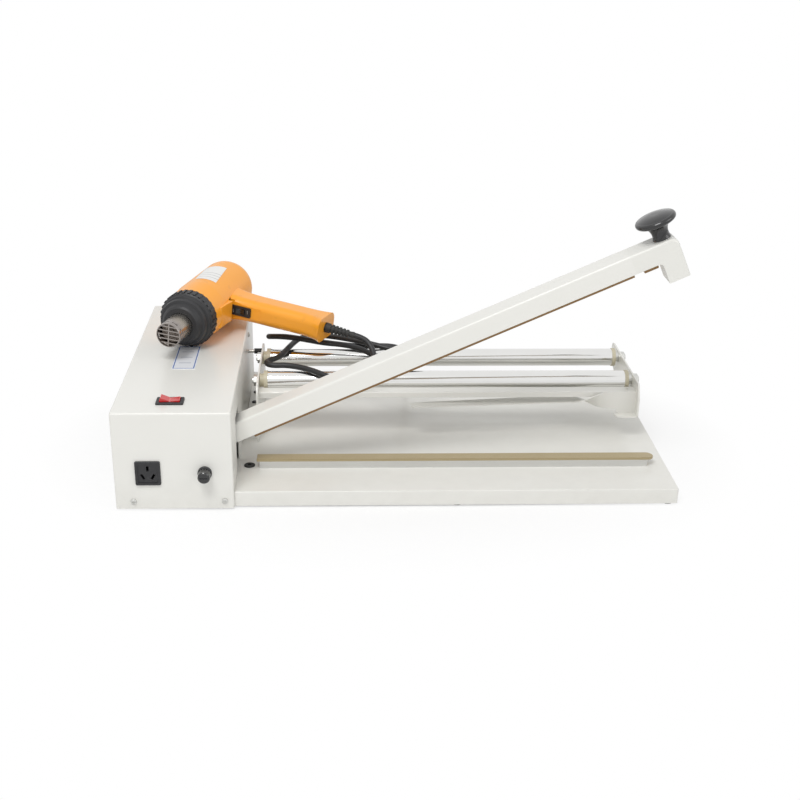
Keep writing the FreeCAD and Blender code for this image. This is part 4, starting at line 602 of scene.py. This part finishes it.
# %% Label of the housing
label_low, label_high = (Vector(corner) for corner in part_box("label_plate"))
label_middle = (label_low + label_high) / 2
label_half = (label_high - label_low) / 2
label = Finish("label film", (0.86, 0.88, 0.92), 0.3, Coat_Weight=0.3)
label_x = abs(label.distance((1, 0, 0), label_middle))
label_y = label.distance((0, 1, 0), label_middle)
edge = (label_x - label_half.x).at_least(abs(label_y) - label_half.y)
label.tint((edge > -0.0024) * (edge < -0.0012), (0.07, 0.16, 0.46))
for line_y in (-0.018, 0.0, 0.018):
    label.tint((abs(label_y - line_y) < 0.0012) * (label_x < 0.007) * 0.5, (0.30, 0.34, 0.42))
label.bump(label.noise(500.0, 1.0), 0.00002, 0.4)
wear(label, "label_plate")

# %% [markdown]
# ## The sticker on the gun
#
# The barrel has a white sticker on its upper side. It follows the barrel, so each of its points is
# thrown onto the shell from above and lifted by a fraction of a millimetre. A ray on the CAD mesh
# itself finds each point, so the sticker takes the barrel's own shape.

# %% Sticker
STICKER_START, STICKER_END = 0.104, 0.158
STICKER_ANGLES = ((10.2, -33.6), (18.5, -27.6))
STICKER_LIFT = 0.00025
ROWS, COLUMNS = 16, 12
NOZZLE_HALF = 0.030
RAY_START, RAY_REACH = 0.08, 0.09
mouth = nozzle_middle + BARREL * NOZZLE_HALF
axis_height = (motor_low.z + motor_high.z) / 2
barrel_up = Vector((0, 0, 1))
barrel_side = BARREL.cross(barrel_up).normalized()
shell_meshes = [nodes[name] for name in ("gun_shell_upper", "gun_shell_lower")]


def on_shell(back, angle):
    """The point of a shell that a ray from outside towards the barrel's axis meets."""
    centre = mouth - BARREL * back
    centre.z = axis_height
    outward = barrel_up * math.cos(angle) + barrel_side * math.sin(angle)
    start = centre + outward * RAY_START
    for shell in shell_meshes:
        turn = shell.matrix_world.inverted()
        aim = (turn.to_3x3() @ -outward).normalized()
        met, where = shell.ray_cast(turn @ start, aim, distance=RAY_REACH)[:2]
        if met:
            return shell.matrix_world @ where + outward * STICKER_LIFT
    raise ValueError("the sticker reaches past the gun's shell")


sticker_points = []
for row in range(ROWS + 1):
    share = row / ROWS
    back = STICKER_START + (STICKER_END - STICKER_START) * share
    ends = [start + (end - start) * share for start, end in zip(*STICKER_ANGLES)]
    for column in range(COLUMNS + 1):
        angle = math.radians(ends[0] + (ends[1] - ends[0]) * column / COLUMNS)
        sticker_points.append(on_shell(back, angle))
print("the sticker lies on the shell at", len(sticker_points), "points")
wide = COLUMNS + 1
sticker_faces = [(r * wide + c, r * wide + c + 1, (r + 1) * wide + c + 1, (r + 1) * wide + c)
                 for r in range(ROWS) for c in range(COLUMNS)]
sticker_film = Finish("sticker film", (0.84, 0.84, 0.82), 0.32, Coat_Weight=0.2)
behind = sticker_film.distance(-BARREL, mouth)
for line_back in (0.114, 0.122, 0.130):
    sticker_film.tint((abs(behind - line_back) < 0.0009) * 0.5, (0.30, 0.30, 0.31))
sticker_film.bump(sticker_film.noise(300.0, 2.0), 0.00002, 0.4)
add_mesh("gun_sticker", sticker_points, sticker_faces, sticker_film, "gun")

# %% [markdown]
# ## Floor
#
# The floor is pale and keeps the machine's shadow. Away from the machine it turns into plain white
# for the camera, so that there is no horizon: a mask grows with the distance from the middle and
# mixes the lit floor with white light that only camera rays see.

# %% Floor
FLOOR_HALF = 6
WHITE = (1, 1, 1, 1)
NEAR_IN_X, NEAR_IN_Y = 1.9, 2.6
SHADOW_REACH = 0.45
FADE = 1.6
SHADOW_KEPT = 0.6
floor = bpy.data.objects.new("floor", bpy.data.meshes.new("floor"))
floor.data.from_pydata([(-FLOOR_HALF, -FLOOR_HALF, 0), (FLOOR_HALF, -FLOOR_HALF, 0),
                        (FLOOR_HALF, FLOOR_HALF, 0), (-FLOOR_HALF, FLOOR_HALF, 0)], [], [(0, 1, 2, 3)])
bpy.context.scene.collection.objects.link(floor)
ground = Finish("pale floor", (0.93, 0.93, 0.93), 0.9)
sideways = ground.distance((1, 0, 0)) * NEAR_IN_X
deep = ground.distance((0, 1, 0)) * NEAR_IN_Y
reach = (sideways * sideways + deep * deep) ** 0.5
away = ((reach - SHADOW_REACH) * FADE).at_least(0.0)
clear = 1.0 - (SHADOW_KEPT - away).at_least(0.0)
seen = ground.node("ShaderNodeLightPath", {}, {}, "Is Camera Ray")
glow = ground.node("ShaderNodeEmission", {}, {"Color": WHITE, "Strength": 1.0})
lit = Wire(ground, ground.surface.outputs[0])
shown = ground.node("ShaderNodeMixShader", {}, {0: seen * clear, 1: lit, 2: glow})
ground.join(ground.tree.nodes["Material Output"].inputs["Surface"], shown)
floor.data.materials.append(ground.material)

# %% [markdown]
# ## World and lamps
#
# The world lights the machine softly and shows white to the camera, to mirrors and through glass.
# Two round lamps, a key from the front left and a weaker fill from the right, keep the paint just
# under white.

# %% World and lamps
AMBIENT = 0.55
world = bpy.data.worlds.new("studio")
bpy.context.scene.world = world
world.use_nodes = True
sky = Graph(world.node_tree)
rays = [sky.node("ShaderNodeLightPath", {}, {}, kind)
        for kind in ("Is Camera Ray", "Is Transmission Ray", "Is Glossy Ray")]
plain = sky.tree.nodes["Background"]
sky.join(plain.inputs["Color"], WHITE)
sky.join(plain.inputs["Strength"], AMBIENT)
backdrop = sky.node("ShaderNodeBackground", {}, {"Color": WHITE, "Strength": 1.0})
looking = rays[0].at_least(rays[1]).at_least(rays[2])
choice = sky.node("ShaderNodeMixShader", {}, {0: looking, 1: Wire(sky, plain.outputs[0]), 2: backdrop})
sky.join(sky.tree.nodes["World Output"].inputs["Surface"], choice)


LIT_POINT = Vector((0, 0, 0.08))


def lamp(name, place, size, power):
    light = bpy.data.objects.new(name, bpy.data.lights.new(name, "AREA"))
    light.data.shape = "DISK"
    light.data.size = size
    light.data.energy = power
    light.location = place
    light.rotation_euler = (LIT_POINT - Vector(place)).to_track_quat("-Z", "Y").to_euler()
    bpy.context.scene.collection.objects.link(light)


lamp("key", (-0.5, -1.1, 1.9), 0.9, 21)
lamp("fill", (1.6, -0.9, 1.2), 1.2, 6)

bpy.context.scene.view_settings.view_transform = "Standard"
